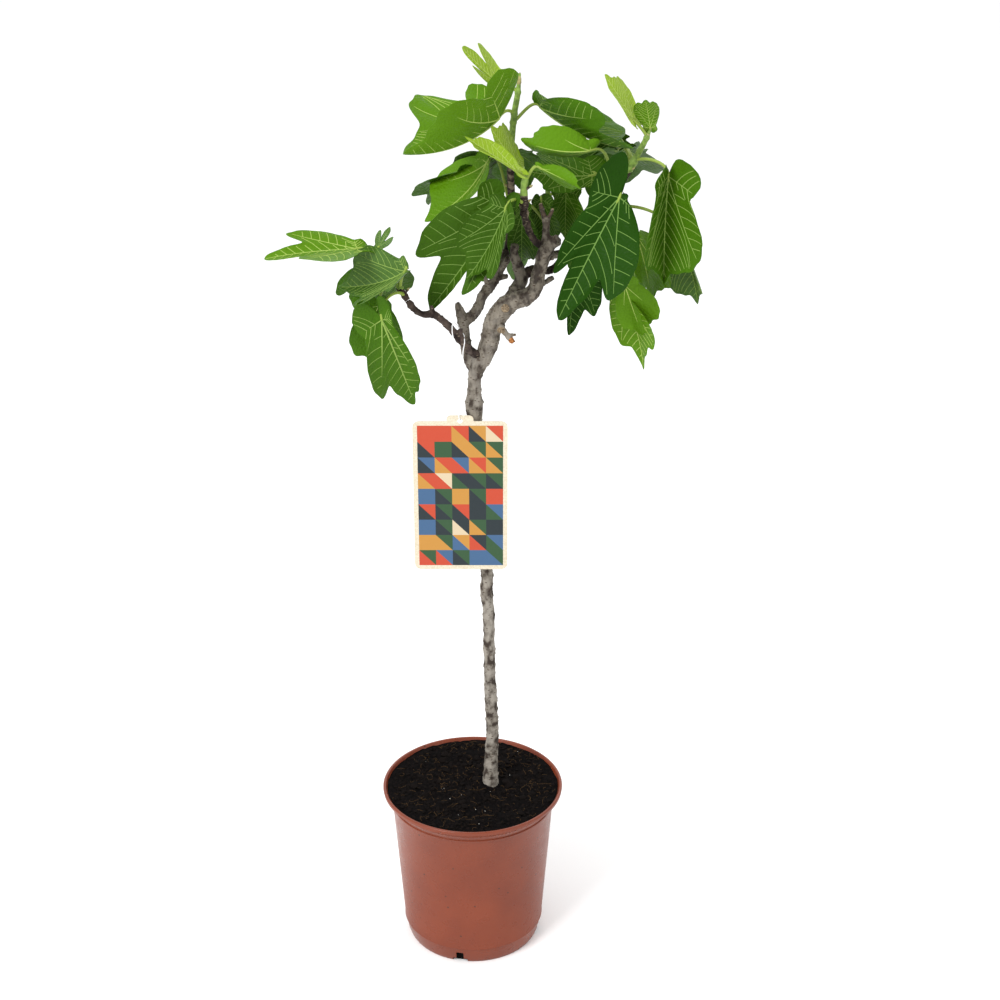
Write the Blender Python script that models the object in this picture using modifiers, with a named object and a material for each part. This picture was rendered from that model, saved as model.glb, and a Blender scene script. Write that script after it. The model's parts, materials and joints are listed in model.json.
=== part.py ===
"""A young fig tree in a nursery pot: pot, soil, trunk, boughs, leafy shoots and a hang label.

Metres, +Z up. The origin is the middle of the pot's flat underside, and the front of the tree
looks along -Y.
"""

import math
import random
from collections import namedtuple

import bmesh
import bpy
from mathutils import Vector

# Clearance between pieces that touch
GAP = 0.0003
WELD = 0.000001
SHARP_ANGLE = math.radians(35)
CUTTERS = "cutters"

# Pot
POT_HEIGHT = 0.180
POT_RIM_RADIUS = 0.095
POT_BODY_RADIUS = 0.0865
POT_FOOT_RADIUS = 0.0685
POT_WALL = 0.0018
POT_FLOOR = 0.0022
LIP_DROP = 0.0045
LIP_ROUND = 0.0010
LIP_WIDTH = 0.0032
NECK_INSET = 0.0060
EDGE_STEP = 0.0025
RIDGE_HEIGHT = 0.164
FOOT_RING_HEIGHT = 0.019
RIDGE_PROUD = 0.0009
FOOT_TURN = 0.0045
POT_SIDES = 32
DRAIN_COUNT = 4
DRAIN_TURN = math.radians(-101)
DRAIN_WIDE = (0.020, 0.016, 0.009)
DRAIN_TALL = (0.020, 0.008, 0.026)

# Soil
SOIL_EDGE_HEIGHT = 0.1735
SOIL_TOP_HEIGHT = 0.1755
SOIL_FLAT_RADIUS = 0.060
SOIL_CLEAR = 0.0005

# Leaves
BLADE_THICKNESS = 0.0014
BLADE_AROUND = 12
BLADE_ALONG = 2
BLADE_OPENING = math.radians(166)
COLUMN_EVEN = 0.42
PETIOLE_RADIUS = 0.0013
PETIOLE_STEPS = 4
PETIOLE_END = 0.06
PETIOLE_EASE = 0.35
PETIOLE_DROOP = 0.3
PETIOLE_FOOT = 1.25
HEART_POWER = 1.2
SINUS_ANGLE = math.radians(24)
SINUS_SPREAD = math.radians(8)
TIP_ANGLE = math.radians(12)
TIP_TAPER = 0.12
SIDE_LOBE_END = math.radians(50)
HEEL_EASE = math.radians(60)
HEEL_DROP = 0.75
HEEL_ANGLE = math.radians(105)
HEEL_SPREAD = math.radians(62)
HEEL_FALL = 1.4
HEEL_ROUND = 0.75
STALK_NOTCH = 0.06
MARGIN_SHARPNESS = 8
GOLDEN_ANGLE = math.radians(137.5)

# Label
LABEL_WIDTH = 0.092
LABEL_HEIGHT = 0.158
LABEL_THICKNESS = 0.0008
LABEL_TOP = Vector((-0.0095, -0.0215, 0.6010))
LABEL_CORNER = 0.006
LABEL_TAB_WIDTH = 0.026
LABEL_TAB_HEIGHT = 0.006
LABEL_TAB_CORNER = 0.004
CARD_SEGMENTS = 3
HOLE_RADIUS = 0.0025
HOLE_SIDES = 12
LOOP_RADIUS = 0.0005

# One knot of a limb's path: its place and the limb's radius there
Knot = namedtuple("Knot", "x y z radius")

# Where a leaf grows: share of the way up its stem, the blade's base and tip, the way that its
# upper side faces, the form of its left and right half, how far the halves fold up (degrees),
# how far it bends along its length (radians) and how high its stalk arches. The form of a half
# is its width against the natural one, how deep its sinus cuts and how far its heel lobe reaches
Leaf = namedtuple("Leaf", "at base tip face left right fold bend arch")

TRUNK = (
    Knot(0.019, 0.005, 0.170, 0.0104),
    Knot(0.019, 0.005, 0.177, 0.0092),
    Knot(0.019, 0.006, 0.190, 0.0075),
    Knot(0.020, 0.007, 0.214, 0.0068),
    Knot(0.021, 0.008, 0.242, 0.0064),
    Knot(0.019, 0.007, 0.285, 0.0063),
    Knot(0.018, 0.005, 0.337, 0.0060),
    Knot(0.017, 0.004, 0.384, 0.0060),
    Knot(0.015, 0.003, 0.409, 0.0066),
    Knot(0.016, 0.002, 0.425, 0.0059),
    Knot(0.011, 0.000, 0.487, 0.0060),
    Knot(0.007, -0.001, 0.552, 0.0060),
    Knot(0.005, -0.002, 0.592, 0.0066),
    Knot(0.004, -0.002, 0.609, 0.0088),
    Knot(0.004, -0.003, 0.624, 0.0066),
    Knot(0.005, -0.003, 0.640, 0.0064),
    Knot(0.008, -0.004, 0.652, 0.0080),
    Knot(0.012, -0.005, 0.662, 0.0090),
)

MAIN_BOUGH = (
    Knot(0.011, -0.005, 0.655, 0.0074),
    Knot(0.017, -0.005, 0.669, 0.0090),
    Knot(0.020, -0.006, 0.683, 0.0088),
    Knot(0.024, -0.008, 0.698, 0.0094),
    Knot(0.033, -0.008, 0.711, 0.0096),
    Knot(0.043, -0.008, 0.718, 0.0088),
    Knot(0.053, -0.008, 0.721, 0.0082),
    Knot(0.062, -0.009, 0.730, 0.0072),
    Knot(0.065, -0.010, 0.744, 0.0066),
    Knot(0.068, -0.012, 0.757, 0.0064),
    Knot(0.072, -0.015, 0.770, 0.0072),
    Knot(0.077, -0.015, 0.776, 0.0060),
    Knot(0.083, -0.018, 0.780, 0.0054),
)

# Cut stubs and dead twigs that stand on the main bough
MAIN_STUBS = (
    (Knot(0.034, -0.008, 0.710, 0.0050), Knot(0.034, -0.020, 0.714, 0.0046)),
    (Knot(0.028, -0.008, 0.698, 0.0052), Knot(0.030, -0.022, 0.693, 0.0044)),
    (Knot(0.030, -0.018, 0.694, 0.0034), Knot(0.042, -0.023, 0.681, 0.0024)),
    (Knot(0.036, -0.020, 0.688, 0.0018), Knot(0.044, -0.023, 0.689, 0.0014)),
    (Knot(0.071, -0.014, 0.768, 0.0052), Knot(0.072, -0.013, 0.796, 0.0032)),
    (Knot(0.072, -0.013, 0.792, 0.0026), Knot(0.066, -0.008, 0.812, 0.0022)),
    (Knot(0.072, -0.013, 0.793, 0.0024), Knot(0.078, -0.009, 0.807, 0.0018)),
    (Knot(0.070, -0.012, 0.761, 0.0044), Knot(0.091, 0.004, 0.762, 0.0030)),
    (Knot(0.064, -0.009, 0.731, 0.0030), Knot(0.079, 0.001, 0.738, 0.0024)),
)

LEFT_BOUGH = (
    Knot(0.008, -0.008, 0.663, 0.0042),
    Knot(0.000, -0.014, 0.671, 0.0040),
    Knot(-0.010, -0.018, 0.684, 0.0037),
    Knot(-0.021, -0.022, 0.699, 0.0034),
    Knot(-0.033, -0.026, 0.710, 0.0036),
    Knot(-0.043, -0.028, 0.711, 0.0031),
    Knot(-0.051, -0.028, 0.716, 0.0030),
    Knot(-0.057, -0.027, 0.724, 0.0029),
)
LEFT_STUBS = (
    (Knot(-0.009, -0.018, 0.683, 0.0026), Knot(-0.008, -0.019, 0.694, 0.0020)),
    (Knot(-0.033, -0.026, 0.709, 0.0024), Knot(-0.035, -0.026, 0.719, 0.0014)),
)

REAR_BOUGH = (
    Knot(0.006, 0.000, 0.642, 0.0046),
    Knot(0.000, 0.003, 0.652, 0.0048),
    Knot(-0.004, 0.004, 0.670, 0.0052),
    Knot(-0.006, 0.004, 0.690, 0.0052),
    Knot(-0.009, 0.004, 0.703, 0.0046),
    Knot(-0.012, 0.003, 0.712, 0.0022),
)

TALL_BOUGH = (
    Knot(-0.007, 0.004, 0.690, 0.0046),
    Knot(0.003, 0.009, 0.698, 0.0050),
    Knot(0.009, 0.013, 0.706, 0.0048),
    Knot(0.012, 0.016, 0.714, 0.0046),
    Knot(0.019, 0.019, 0.723, 0.0048),
    Knot(0.025, 0.022, 0.731, 0.0044),
    Knot(0.030, 0.032, 0.740, 0.0040),
    Knot(0.036, 0.042, 0.752, 0.0036),
)
TALL_STUBS = (
    (Knot(0.026, 0.022, 0.732, 0.0038), Knot(0.037, 0.014, 0.753, 0.0026)),
    (Knot(0.026, 0.020, 0.731, 0.0030), Knot(0.036, 0.014, 0.735, 0.0026)),
    (Knot(0.018, 0.018, 0.723, 0.0026), Knot(0.012, 0.014, 0.740, 0.0018)),
)

CENTRE_BOUGH = (
    Knot(0.036, -0.004, 0.713, 0.0070),
    Knot(0.044, 0.004, 0.724, 0.0066),
    Knot(0.049, 0.009, 0.734, 0.0064),
    Knot(0.046, 0.010, 0.746, 0.0052),
    Knot(0.042, 0.008, 0.758, 0.0040),
    Knot(0.043, 0.006, 0.768, 0.0036),
)

RIGHT_BOUGH = (
    Knot(0.047, 0.009, 0.732, 0.0046),
    Knot(0.056, 0.015, 0.739, 0.0046),
    Knot(0.067, 0.021, 0.739, 0.0042),
    Knot(0.078, 0.028, 0.737, 0.0038),
    Knot(0.090, 0.034, 0.748, 0.0034),
    Knot(0.105, 0.036, 0.764, 0.0032),
    Knot(0.118, 0.034, 0.780, 0.0031),
)

BACK_BOUGH = (
    Knot(0.067, 0.021, 0.738, 0.0034),
    Knot(0.071, 0.034, 0.742, 0.0034),
    Knot(0.074, 0.048, 0.752, 0.0031),
)

LOW_BOUGH = (
    Knot(0.105, 0.036, 0.763, 0.0028),
    Knot(0.113, 0.048, 0.765, 0.0028),
    Knot(0.120, 0.056, 0.768, 0.0026),
)

FRONT_TWIG = (
    Knot(0.073, -0.014, 0.772, 0.0040),
    Knot(0.064, -0.014, 0.775, 0.0036),
    Knot(0.057, -0.015, 0.785, 0.0032),
    Knot(0.053, -0.017, 0.797, 0.0034),
    Knot(0.051, -0.018, 0.808, 0.0036),
)

# Stems of the leafy shoots, each from its bough's tip
SHOOT_STEMS = {
    "left_leaves": (
        Knot(-0.0572, -0.0269, 0.7243, 0.0029),
        Knot(-0.063, -0.025, 0.733, 0.0028),
        Knot(-0.069, -0.022, 0.741, 0.0026),
        Knot(-0.074, -0.020, 0.750, 0.0024),
        Knot(-0.079, -0.018, 0.761, 0.0014),
    ),
    "top_leaves": (
        Knot(0.0362, 0.0422, 0.7523, 0.0036),
        Knot(0.038, 0.044, 0.765, 0.0034),
        Knot(0.040, 0.042, 0.788, 0.0034),
        Knot(0.040, 0.038, 0.804, 0.0036),
        Knot(0.039, 0.032, 0.827, 0.0033),
        Knot(0.039, 0.026, 0.850, 0.0028),
        Knot(0.040, 0.021, 0.866, 0.0030),
        Knot(0.042, 0.015, 0.889, 0.0028),
        Knot(0.045, 0.010, 0.908, 0.0026),
        Knot(0.047, 0.006, 0.928, 0.0010),
    ),
    "centre_leaves": (
        Knot(0.0509, -0.0181, 0.8083, 0.0036),
        Knot(0.051, -0.018, 0.818, 0.0037),
        Knot(0.051, -0.018, 0.829, 0.0032),
        Knot(0.053, -0.018, 0.842, 0.0013),
    ),
    "right_leaves": (
        Knot(0.1182, 0.0339, 0.7803, 0.0031),
        Knot(0.126, 0.031, 0.793, 0.0032),
        Knot(0.143, 0.022, 0.825, 0.0036),
        Knot(0.150, 0.020, 0.838, 0.0034),
        Knot(0.155, 0.018, 0.848, 0.0032),
        Knot(0.162, 0.014, 0.863, 0.0026),
        Knot(0.167, 0.010, 0.876, 0.0012),
    ),
    "low_right_leaves": (
        Knot(0.1203, 0.0562, 0.7681, 0.0026),
        Knot(0.128, 0.060, 0.773, 0.0026),
        Knot(0.137, 0.060, 0.782, 0.0024),
        Knot(0.145, 0.058, 0.792, 0.0014),
    ),
    "back_leaves": (
        Knot(0.0741, 0.0482, 0.7523, 0.0031),
        Knot(0.076, 0.056, 0.764, 0.0031),
        Knot(0.076, 0.062, 0.782, 0.0029),
        Knot(0.075, 0.066, 0.802, 0.0026),
        Knot(0.074, 0.068, 0.818, 0.0014),
    ),
}

# Leaves that show, shoot by shoot
SHOWN_LEAVES = {
    "left_leaves": (
        Leaf(
            0.95, (-0.104, -0.010, 0.769), (-0.190, -0.035, 0.768), (0.1, -0.2, 1.0),
            (0.95, 0.42, 0.30), (0.52, 0.35, 0.25), 20, 0.1, 0.1,
        ),
        Leaf(
            0.90, (-0.084, -0.008, 0.770), (-0.073, 0.000, 0.787), (0.0, -0.8, 0.6),
            (0.60, 0.55, 0.35), (0.65, 0.60, 0.35), 5, 0.3, 0.1,
        ),
        Leaf(
            0.30, (-0.058, -0.042, 0.757), (-0.122, -0.020, 0.734), (-0.5, -0.6, 0.6),
            (1.10, 0.25, 0.50), (0.85, 0.10, 0.25), 40, -0.9, 0.5,
        ),
        Leaf(
            0.55, (-0.084, -0.028, 0.719), (-0.082, -0.014, 0.648), (0.1, 1.0, 0.2),
            (0.70, 0.15, 0.50), (0.55, 0.15, 0.35), -20, 0.2, 0.4,
        ),
        Leaf(
            0.12, (-0.080, -0.054, 0.714), (-0.053, -0.010, 0.614), (-0.3, 0.9, 0.3),
            (0.50, 0.25, 0.50), (0.22, 0.05, 0.45), -20, -0.4, 0.5,
        ),
    ),
    "top_leaves": (
        Leaf(
            0.90, (0.029, 0.010, 0.917), (-0.005, -0.005, 0.954), (0.7, -0.5, 0.5),
            (0.30, 0.75, 0.20), (0.85, 0.55, 0.50), -5, -0.2, 0.2,
        ),
        Leaf(
            0.78, (0.028, 0.000, 0.889), (-0.060, -0.040, 0.867), (-0.3, 0.1, 0.9),
            (1.15, 0.10, 0.60), (1.30, 0.20, 0.40), 40, -0.9, 0.3,
        ),
        Leaf(
            0.74, (0.066, 0.020, 0.895), (0.151, -0.006, 0.860), (0.4, 0.2, 0.9),
            (0.90, 0.00, 0.25), (0.80, 0.25, 0.25), 35, -0.6, 0.1,
        ),
        Leaf(
            0.22, (0.017, 0.038, 0.838), (-0.043, 0.024, 0.787), (0.5, 0.3, -0.8),
            (0.90, 0.10, 0.25), (0.70, 0.05, 0.30), -20, 0.9, 0.3,
        ),
    ),
    "centre_leaves": (
        Leaf(
            0.75, (0.066, -0.018, 0.847), (0.104, -0.028, 0.829), (0.4, 0.8, 0.4),
            (0.80, 0.05, 0.35), (0.40, 0.05, 0.30), 35, 0.2, 0.3,
        ),
        Leaf(
            0.85, (0.045, -0.030, 0.847), (-0.003, -0.035, 0.879), (0.5, -0.5, 0.7),
            (0.65, 0.05, 0.35), (0.35, 0.05, 0.35), 40, 0.1, 0.1,
        ),
        Leaf(
            0.80, (0.045, -0.002, 0.845), (0.021, -0.018, 0.885), (0.8, -0.6, 0.2),
            (0.25, 0.10, 0.35), (0.80, 0.10, 0.35), -15, -0.2, 0.1,
        ),
        Leaf(
            0.15, (0.030, -0.016, 0.810), (-0.040, -0.004, 0.706), (-0.5, -0.8, 0.2),
            (0.45, 0.45, 0.40), (0.65, 0.30, 0.35), 30, -0.4, 0.1,
        ),
        Leaf(
            0.20, (0.034, -0.040, 0.815), (-0.003, -0.026, 0.742), (-0.6, -0.8, 0.2),
            (0.90, 0.20, 0.50), (0.65, 0.15, 0.35), 40, -0.6, 0.3,
        ),
    ),
    "right_leaves": (
        Leaf(
            0.08, (0.138, -0.024, 0.821), (0.082, -0.045, 0.709), (0.0, -1.0, 0.2),
            (0.60, 0.30, 0.10), (0.42, 0.35, 0.65), 25, -0.6, 0.5,
        ),
        Leaf(
            0.62, (0.184, -0.003, 0.835), (0.184, 0.008, 0.725), (0.1, -1.0, -0.1),
            (0.80, 0.05, 0.50), (0.80, 0.10, 0.35), 60, -0.4, 0.25,
        ),
        Leaf(
            0.90, (0.151, 0.010, 0.885), (0.123, 0.006, 0.927), (0.8, -0.4, 0.5),
            (0.35, 0.10, 0.35), (0.75, 0.10, 0.40), 5, 0.1, 0.1,
        ),
        Leaf(
            0.88, (0.167, 0.012, 0.877), (0.160, -0.010, 0.907), (0.0, -0.8, -0.6),
            (0.60, 0.00, 0.35), (0.50, 0.00, 0.35), -20, -0.4, 0.1,
        ),
        Leaf(
            0.28, (0.111, -0.012, 0.862), (0.047, -0.014, 0.873), (0.1, 0.9, 0.5),
            (0.60, 0.05, 0.30), (1.05, 0.05, 0.45), 40, -0.9, 0.1,
        ),
    ),
    "low_right_leaves": (
        Leaf(
            0.30, (0.147, 0.004, 0.729), (0.166, 0.014, 0.675), (-0.1, 1.0, 0.2),
            (0.50, 0.10, 0.35), (0.75, 0.10, 0.35), -20, 0.1, 0.2,
        ),
        Leaf(
            0.80, (0.161, 0.035, 0.766), (0.177, 0.042, 0.703), (0.6, 0.7, 0.3),
            (0.35, 0.10, 0.40), (0.90, 0.10, 0.35), -15, 0.1, 0.2,
        ),
        Leaf(
            0.10, (0.143, 0.024, 0.720), (0.170, 0.024, 0.637), (-0.7, -0.7, -0.2),
            (0.60, 0.15, 0.35), (0.45, 0.15, 0.40), 20, -0.5, 0.2,
        ),
        Leaf(
            0.95, (0.200, 0.034, 0.767), (0.221, 0.030, 0.702), (-0.7, -0.7, -0.2),
            (0.85, 0.05, 0.35), (0.70, 0.05, 0.35), 40, -0.3, 0.2,
        ),
        Leaf(
            0.15, (0.109, 0.018, 0.748), (0.097, 0.020, 0.672), (0.5, -0.9, -0.1),
            (0.60, 0.25, 0.35), (0.80, 0.30, 0.50), 40, -0.7, 0.3,
        ),
    ),
    "back_leaves": (
        Leaf(
            0.30, (0.050, 0.018, 0.796), (0.050, 0.042, 0.739), (-0.1, -0.9, -0.4),
            (0.50, 0.10, 0.35), (0.40, 0.10, 0.35), 30, 0.6, 0.2,
        ),
        Leaf(
            0.55, (0.068, 0.036, 0.803), (0.072, 0.054, 0.754), (-0.1, -0.9, -0.4),
            (0.70, 0.10, 0.45), (0.65, 0.10, 0.35), 40, -0.2, 0.2,
        ),
        Leaf(
            0.70, (0.092, 0.056, 0.806), (0.092, 0.066, 0.758), (0.0, -0.9, -0.5),
            (0.85, 0.10, 0.45), (0.85, 0.10, 0.45), 40, 0.1, 0.2,
        ),
        Leaf(
            0.95, (0.116, 0.046, 0.824), (0.055, 0.016, 0.836), (0.5, -0.7, 0.5),
            (0.40, 0.15, 0.50), (0.70, 0.15, 0.50), -20, -0.7, 0.2,
        ),
    ),
}

# Leaves on the far side of the crown grow by rule: how many each shoot carries, the rule's seed,
# and the box that they keep to, as lowest and highest corner
FAR_LEAVES = {
    "left_leaves": (2, 37, (-0.130, 0.000, 0.650), (-0.040, 0.080, 0.775)),
    "top_leaves": (4, 116, (-0.070, 0.045, 0.770), (0.085, 0.175, 0.900)),
    "right_leaves": (3, 14, (0.088, 0.058, 0.766), (0.235, 0.185, 0.862)),
    "low_right_leaves": (3, 45, (0.092, 0.066, 0.665), (0.215, 0.165, 0.762)),
    "back_leaves": (3, 57, (-0.030, 0.074, 0.670), (0.090, 0.185, 0.790)),
}
# What the rule draws between: place up the stem, reach of the stalk and its rise, droop of the
# blade, its length, how far it faces sideways, its width, the depth of its sinus and its fold
FAR_AT = (0.25, 0.95)
FAR_REACH = (0.030, 0.055)
FAR_RISE = (-0.030, 0.015)
FAR_DROOP = (0.5, 1.3)
FAR_LENGTH = (0.062, 0.088)
FAR_SWAY = (-0.2, 0.2)
FAR_WIDTH = (0.70, 0.85)
FAR_SINUS = (0.10, 0.40)
FAR_FOLD = (-10, 14)
FAR_HEEL = 0.32
FAR_BEND = 0.4
FAR_ARCH = 0.2
FAR_TRIES = 400
FAR_CLEAR = 0.014
LIMB_CLEAR = 0.004
FAR_TESTS = tuple(math.radians(angle) for angle in (-110, -45, 0, 45, 110))


# Each limb's knots, its stubs and the limbs that it grows from
LIMBS = {
    "trunk": (TRUNK, (), ()),
    "main_bough": (MAIN_BOUGH, MAIN_STUBS, ("trunk",)),
    "left_bough": (LEFT_BOUGH, LEFT_STUBS, ("trunk", "main_bough")),
    "rear_bough": (REAR_BOUGH, (), ("trunk", "main_bough")),
    "tall_bough": (TALL_BOUGH, TALL_STUBS, ("rear_bough",)),
    "centre_bough": (CENTRE_BOUGH, (), ("main_bough",)),
    "right_bough": (RIGHT_BOUGH, (), ("centre_bough",)),
    "back_bough": (BACK_BOUGH, (), ("right_bough",)),
    "low_bough": (LOW_BOUGH, (), ("right_bough",)),
    "front_twig": (FRONT_TWIG, (), ("main_bough",)),
}
LIMB_STEPS = 2
LIMB_SIDES = 2
STUB_SIDES = 1

DARK_LIMBS = ("left_bough", "right_bough", "back_bough", "low_bough", "front_twig")

# The limb that carries each leafy shoot
CARRIERS = {
    "left_leaves": "left_bough",
    "top_leaves": "tall_bough",
    "centre_leaves": "front_twig",
    "right_leaves": "right_bough",
    "low_right_leaves": "low_bough",
    "back_leaves": "back_bough",
}


def start_scene():
    """Empties the scene, makes the collections and returns the one for parts."""
    for item in list(bpy.data.objects):
        bpy.data.objects.remove(item)
    parts = bpy.data.collections.new("potted_fig_tree")
    cutters = bpy.data.collections.new(CUTTERS)
    for group in (parts, cutters):
        bpy.context.scene.collection.children.link(group)
    cutters.hide_render = True
    return parts


def plain_material(name, colour, roughness):
    """A Principled material of one colour."""
    made = bpy.data.materials.new(name)
    made.use_nodes = True
    shader = made.node_tree.nodes["Principled BSDF"]
    shader.inputs["Base Color"].default_value = (*colour, 1)
    shader.inputs["Roughness"].default_value = roughness
    return made


def add_object(name, mesh, group):
    """Links a new object into a group, drawn as wire where the group is a helper."""
    made = bpy.data.objects.new(name, mesh)
    group.objects.link(made)
    if group.hide_render:
        made.display_type = "WIRE"
    return made


def finish_surface(item, material):
    """One material, and smooth shading that keeps its sharp edges."""
    item.data.materials.clear()
    item.data.materials.append(material)
    item.data.shade_smooth()
    item.data.set_sharp_from_angle(angle=SHARP_ANGLE)


def object_from_bmesh(name, shape, group):
    """An object that takes its mesh from a finished bmesh."""
    mesh = bpy.data.meshes.new(name)
    shape.to_mesh(mesh)
    shape.free()
    return add_object(name, mesh, group)


def smooth_path(knots, steps):
    """Knots along a Catmull-Rom curve through the given ones, with `steps` to each span."""
    ends = (knots[0],) + tuple(knots) + (knots[-1],)
    path = []
    for i in range(1, len(ends) - 2):
        before, start, end, after = (Vector(knot) for knot in ends[i - 1:i + 3])
        for step in range(steps):
            t = step / steps
            square = 2 * before - 5 * start + 4 * end - after
            cube = 3 * start - before - 3 * end + after
            path.append((2 * start + (end - before) * t + square * t ** 2 + cube * t ** 3) / 2)
    path.append(Vector(knots[-1]))
    return path


def tube_mesh(name, path, sides_level, grow, cyclic=False):
    """Mesh of a round limb along (x, y, z, radius) points, with welded caps."""
    curve = bpy.data.curves.new(name, "CURVE")
    curve.dimensions = "3D"
    curve.bevel_depth = 1.0
    curve.bevel_resolution = sides_level
    curve.use_fill_caps = not cyclic
    spline = curve.splines.new("POLY")
    spline.points.add(len(path) - 1)
    spline.use_cyclic_u = cyclic
    for point, (x, y, z, radius) in zip(spline.points, path):
        point.co = (x, y, z, 1)
        point.radius = radius + grow
    guide = bpy.data.objects.new(name, curve)
    bpy.context.scene.collection.objects.link(guide)
    graph = bpy.context.evaluated_depsgraph_get()
    mesh = bpy.data.meshes.new_from_object(guide.evaluated_get(graph))
    bpy.data.objects.remove(guide)
    bpy.data.curves.remove(curve)
    shape = bmesh.new()
    shape.from_mesh(mesh)
    bmesh.ops.remove_doubles(shape, verts=shape.verts, dist=WELD)
    bmesh.ops.recalc_face_normals(shape, faces=shape.faces)
    shape.to_mesh(mesh)
    shape.free()
    return mesh


def apply_boolean(target, operation, group, solver="EXACT"):
    """Joins or cuts the target with every object of a collection, and removes those objects."""
    boolean = target.modifiers.new("boolean", "BOOLEAN")
    boolean.operation = operation
    boolean.operand_type = "COLLECTION"
    boolean.collection = group
    boolean.solver = solver
    bpy.context.view_layer.update()
    graph = bpy.context.evaluated_depsgraph_get()
    joined = bpy.data.meshes.new_from_object(target.evaluated_get(graph))
    target.modifiers.clear()
    target.data = joined
    for item in list(group.objects):
        bpy.data.objects.remove(item)
    bpy.data.collections.remove(group)
    keep_outer_body(joined)


def keep_outer_body(mesh):
    """Fills sealed hollows and drops loose scraps: only the largest shell stays."""
    shape = bmesh.new()
    shape.from_mesh(mesh)
    bmesh.ops.triangulate(shape, faces=shape.faces)
    left = set(shape.verts)
    shells = []
    while left:
        front = [left.pop()]
        shell = set(front)
        while front:
            vert = front.pop()
            fresh = {edge.other_vert(vert) for edge in vert.link_edges} & left
            left -= fresh
            shell |= fresh
            front.extend(fresh)
        shells.append(shell)
    shells.sort(key=len)
    for shell in shells[:-1]:
        bmesh.ops.delete(shape, geom=list(shell), context="VERTS")
    shape.to_mesh(mesh)
    shape.free()


def helper_group(name):
    """A hidden collection for shapes that are joined or cut and then removed."""
    group = bpy.data.collections.new(name)
    group.hide_render = True
    bpy.data.collections[CUTTERS].children.link(group)
    return group


def wall_radius(height):
    """Outer radius of the pot's plain wall at a height."""
    low = POT_FOOT_RADIUS + FOOT_TURN
    return low + (POT_BODY_RADIUS - low) * height / POT_HEIGHT


def make_pot(parts):
    """The pot's wall is one turned profile, and its drain slots are cut through the bottom edge."""
    lip_low = POT_HEIGHT - LIP_DROP
    ridge_wall = wall_radius(RIDGE_HEIGHT)
    ring_wall = wall_radius(FOOT_RING_HEIGHT)
    outside = [
        (POT_RIM_RADIUS - LIP_ROUND, POT_HEIGHT),
        (POT_RIM_RADIUS, POT_HEIGHT - LIP_ROUND),
        (POT_RIM_RADIUS - LIP_ROUND, lip_low),
        (POT_RIM_RADIUS - LIP_DROP, lip_low - EDGE_STEP),
        (ridge_wall + RIDGE_PROUD * 2, RIDGE_HEIGHT + EDGE_STEP),
        (ridge_wall + RIDGE_PROUD, RIDGE_HEIGHT - LIP_ROUND),
        (ridge_wall, RIDGE_HEIGHT - EDGE_STEP),
        (ring_wall, FOOT_RING_HEIGHT + LIP_ROUND),
        (ring_wall - RIDGE_PROUD, FOOT_RING_HEIGHT),
        (POT_FOOT_RADIUS + LIP_ROUND * 3, LIP_ROUND * 6),
        (POT_FOOT_RADIUS + LIP_ROUND, LIP_ROUND),
        (POT_FOOT_RADIUS, 0.0),
        (0.0, 0.0),
    ]
    inside = [
        (0.0, POT_FLOOR),
        (POT_FOOT_RADIUS - LIP_ROUND, POT_FLOOR),
        (ring_wall - RIDGE_PROUD - POT_WALL, FOOT_RING_HEIGHT),
        (ridge_wall - POT_WALL, RIDGE_HEIGHT),
        (POT_RIM_RADIUS - NECK_INSET, SOIL_EDGE_HEIGHT),
        (POT_RIM_RADIUS - LIP_WIDTH, POT_HEIGHT),
    ]
    shape = bmesh.new()
    corners = [shape.verts.new((radius, 0, height)) for radius, height in outside + inside]
    for i, corner in enumerate(corners):
        after = corners[(i + 1) % len(corners)]
        if corner.co.x > 0 or after.co.x > 0:
            shape.edges.new((corner, after))
    pot = object_from_bmesh("pot", shape, parts)
    turn = pot.modifiers.new("turn", "SCREW")
    turn.steps = POT_SIDES
    turn.render_steps = POT_SIDES
    turn.use_merge_vertices = True
    turn.merge_threshold = WELD
    slots = helper_group("drain_slots")
    for i in range(DRAIN_COUNT):
        angle = DRAIN_TURN + i * math.tau / DRAIN_COUNT
        for size in (DRAIN_WIDE, DRAIN_TALL):
            shape = bmesh.new()
            bmesh.ops.create_cube(shape, size=1)
            bmesh.ops.scale(shape, verts=shape.verts, vec=size)
            slot = object_from_bmesh("drain_slot", shape, slots)
            slot.location = (math.cos(angle) * POT_FOOT_RADIUS, math.sin(angle) * POT_FOOT_RADIUS, 0)
            slot.rotation_euler.z = angle
    apply_boolean(pot, "DIFFERENCE", slots)
    finish_surface(pot, plain_material("terracotta_plastic", (0.33, 0.085, 0.042), 0.42))


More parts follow.
